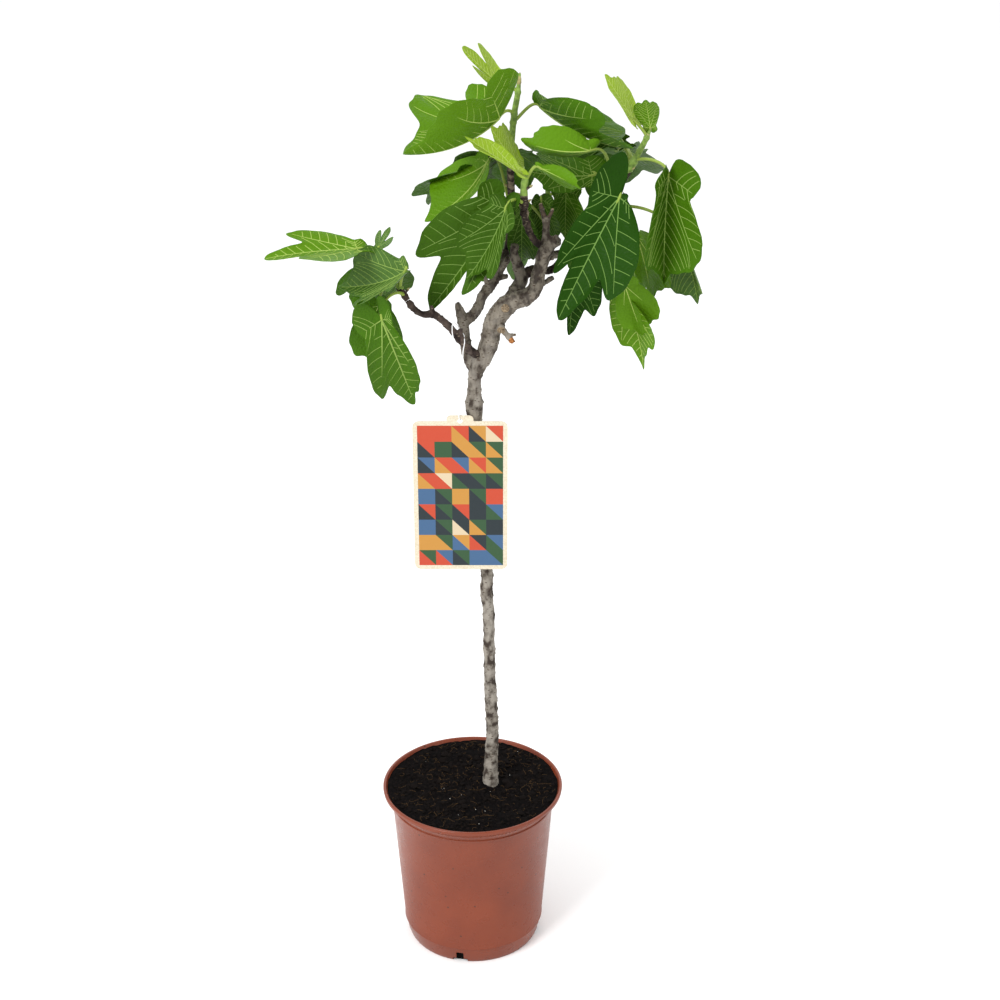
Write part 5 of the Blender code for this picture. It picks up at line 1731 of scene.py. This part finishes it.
def leaf_ribs(leaf, paths, phase):
    """The veins of one leaf as closed tubes."""
    ribs = bmesh.new()
    for i, path in enumerate(paths):
        sides = MAIN_VEIN_SIDES if i < len(VEIN_ANGLES) else SIDE_VEIN_SIDES
        add_tube(ribs, laid_vein(leaf, path, phase), sides)
    close_tubes(ribs)
    return ribs


def grow_shoot(name):
    """One shoot: its leaves' blades, veins and wood."""
    far = far_leaves(name, smooth_path(SHOOT_STEMS[name], steps=STEM_STEPS))
    leaves = list(SHOWN_LEAVES[name]) + far
    shades = list(SHOWN_SHADES[name]) + [FAR_SHADES[i % len(FAR_SHADES)] for i in range(len(far))]
    blades = bmesh.new()
    veins = bmesh.new()
    for i, (leaf, shade) in enumerate(zip(leaves, shades)):
        index = SHADE_NAMES.index(shade)
        paths = leaf_veins(leaf)
        phase = PHASE_STEP * i + len(name)
        add_shape(blades, blade_shape(leaf, paths, phase), index)
        add_shape(veins, leaf_ribs(leaf, paths, phase), index)
    blades = modified_shape(
        blades, "SOLIDIFY", thickness=BLADE_THICKNESS, offset=-1,
        material_offset=len(SHADE_NAMES), material_offset_rim=len(SHADE_NAMES),
    )
    short = name.replace("_leaves", "")
    finished_piece(short + "_blades", blades, leaf_tops + leaf_backs, "fig_leaf", name)
    finished_piece(short + "_veins", veins, vein_finishes, "fig_leaf", name)
    finished_piece(short + "_shoot", shoot_shape(name, leaves), SHOOT_FINISHES, "fig_leaf", name)


for shoot_name in SHOOT_STEMS:
    grow_shoot(shoot_name)

# %% [markdown]
# ## Label
#
# A card hangs from the left bough on an elastic loop. Its print is a plain patchwork of
# triangles in warm and dark colours, laid on the card as a thin printed layer with a narrow
# cream border. The card's own edge and back are bare paper.

# %% Label
LABEL_WIDTH = 0.092
LABEL_HEIGHT = 0.158
LABEL_THICKNESS = 0.0008
LABEL_TOP = Vector((-0.0095, -0.0215, 0.6010))
PRINT_BORDER = 0.0045
PRINT_COLUMNS = 5
PRINT_ROWS = 9
PRINT_DEPTH = 0.0001
PRINT_SEED = 8
PRINT_COLOURS = (
    ("ochre", (0.42, 0.20, 0.035), 4),
    ("blue", (0.040, 0.095, 0.19), 3),
    ("brick", (0.42, 0.050, 0.020), 5),
    ("night", (0.012, 0.020, 0.024), 4),
    ("pine", (0.022, 0.065, 0.024), 4),
    ("cream", (0.52, 0.42, 0.28), 1),
)

card_paper = grained_finish(
    "card_paper", (0.78, 0.70, 0.55), 0.7, (1600, 2, 0.0001, 0.4), grain=(800, 3),
    tones=((0.35, (0.52, 0.45, 0.33)), (0.65, (0.62, 0.56, 0.44))),
)
elastic = grained_finish("white_elastic", (0.80, 0.80, 0.80), 0.6, (2500, 2, 0.0002, 0.7))
print_finishes = []
for ink, colour, _ in PRINT_COLOURS:
    made = new_finish("ink_" + ink, colour, 0.35)
    vary_gloss(made, noise_field(made, 300, 2), 0.28, 0.42)
    print_finishes.append(made)
deal = [i for i, (_, _, share) in enumerate(PRINT_COLOURS) for _ in range(share)]

print("Inks:", [ink for ink, _, _ in PRINT_COLOURS])

# %% [markdown]
# The print is one grid cut into triangles. Each triangle draws its ink from a small deck, where
# the commoner inks lie more often. The sheet is then pushed out by a tenth of a millimetre, so it
# has an edge of its own.

# %% Label print
shape = bmesh.new()
bmesh.ops.create_grid(shape, x_segments=PRINT_COLUMNS, y_segments=PRINT_ROWS, size=1)
bmesh.ops.triangulate(shape, faces=shape.faces, quad_method="ALTERNATE")
ink_draw = random.Random(PRINT_SEED)
for face in shape.faces:
    face.material_index = ink_draw.choice(deal)
print_width = LABEL_WIDTH - 2 * PRINT_BORDER
print_height = LABEL_HEIGHT - 2 * PRINT_BORDER
front = LABEL_TOP.y - LABEL_THICKNESS / 2
for vert in shape.verts:
    x, z = vert.co.x * print_width / 2, vert.co.y * print_height / 2
    vert.co = (LABEL_TOP.x + x, front, LABEL_TOP.z - LABEL_HEIGHT / 2 + z)
printed = bmesh.ops.extrude_face_region(shape, geom=shape.faces[:])["geom"]
lifted = [item for item in printed if isinstance(item, bmesh.types.BMVert)]
bmesh.ops.translate(shape, verts=lifted, vec=(0, -PRINT_DEPTH, 0))
bmesh.ops.recalc_face_normals(shape, faces=shape.faces)
finished_piece("label_print", shape, print_finishes, "printed_card")

for node_name, finish in (("label", card_paper), ("label_loop", elastic)):
    node = frame["nodes"][node_name]
    node.data.materials.clear()
    node.data.materials.append(finish)
print("The label's card and loop have their finishes")
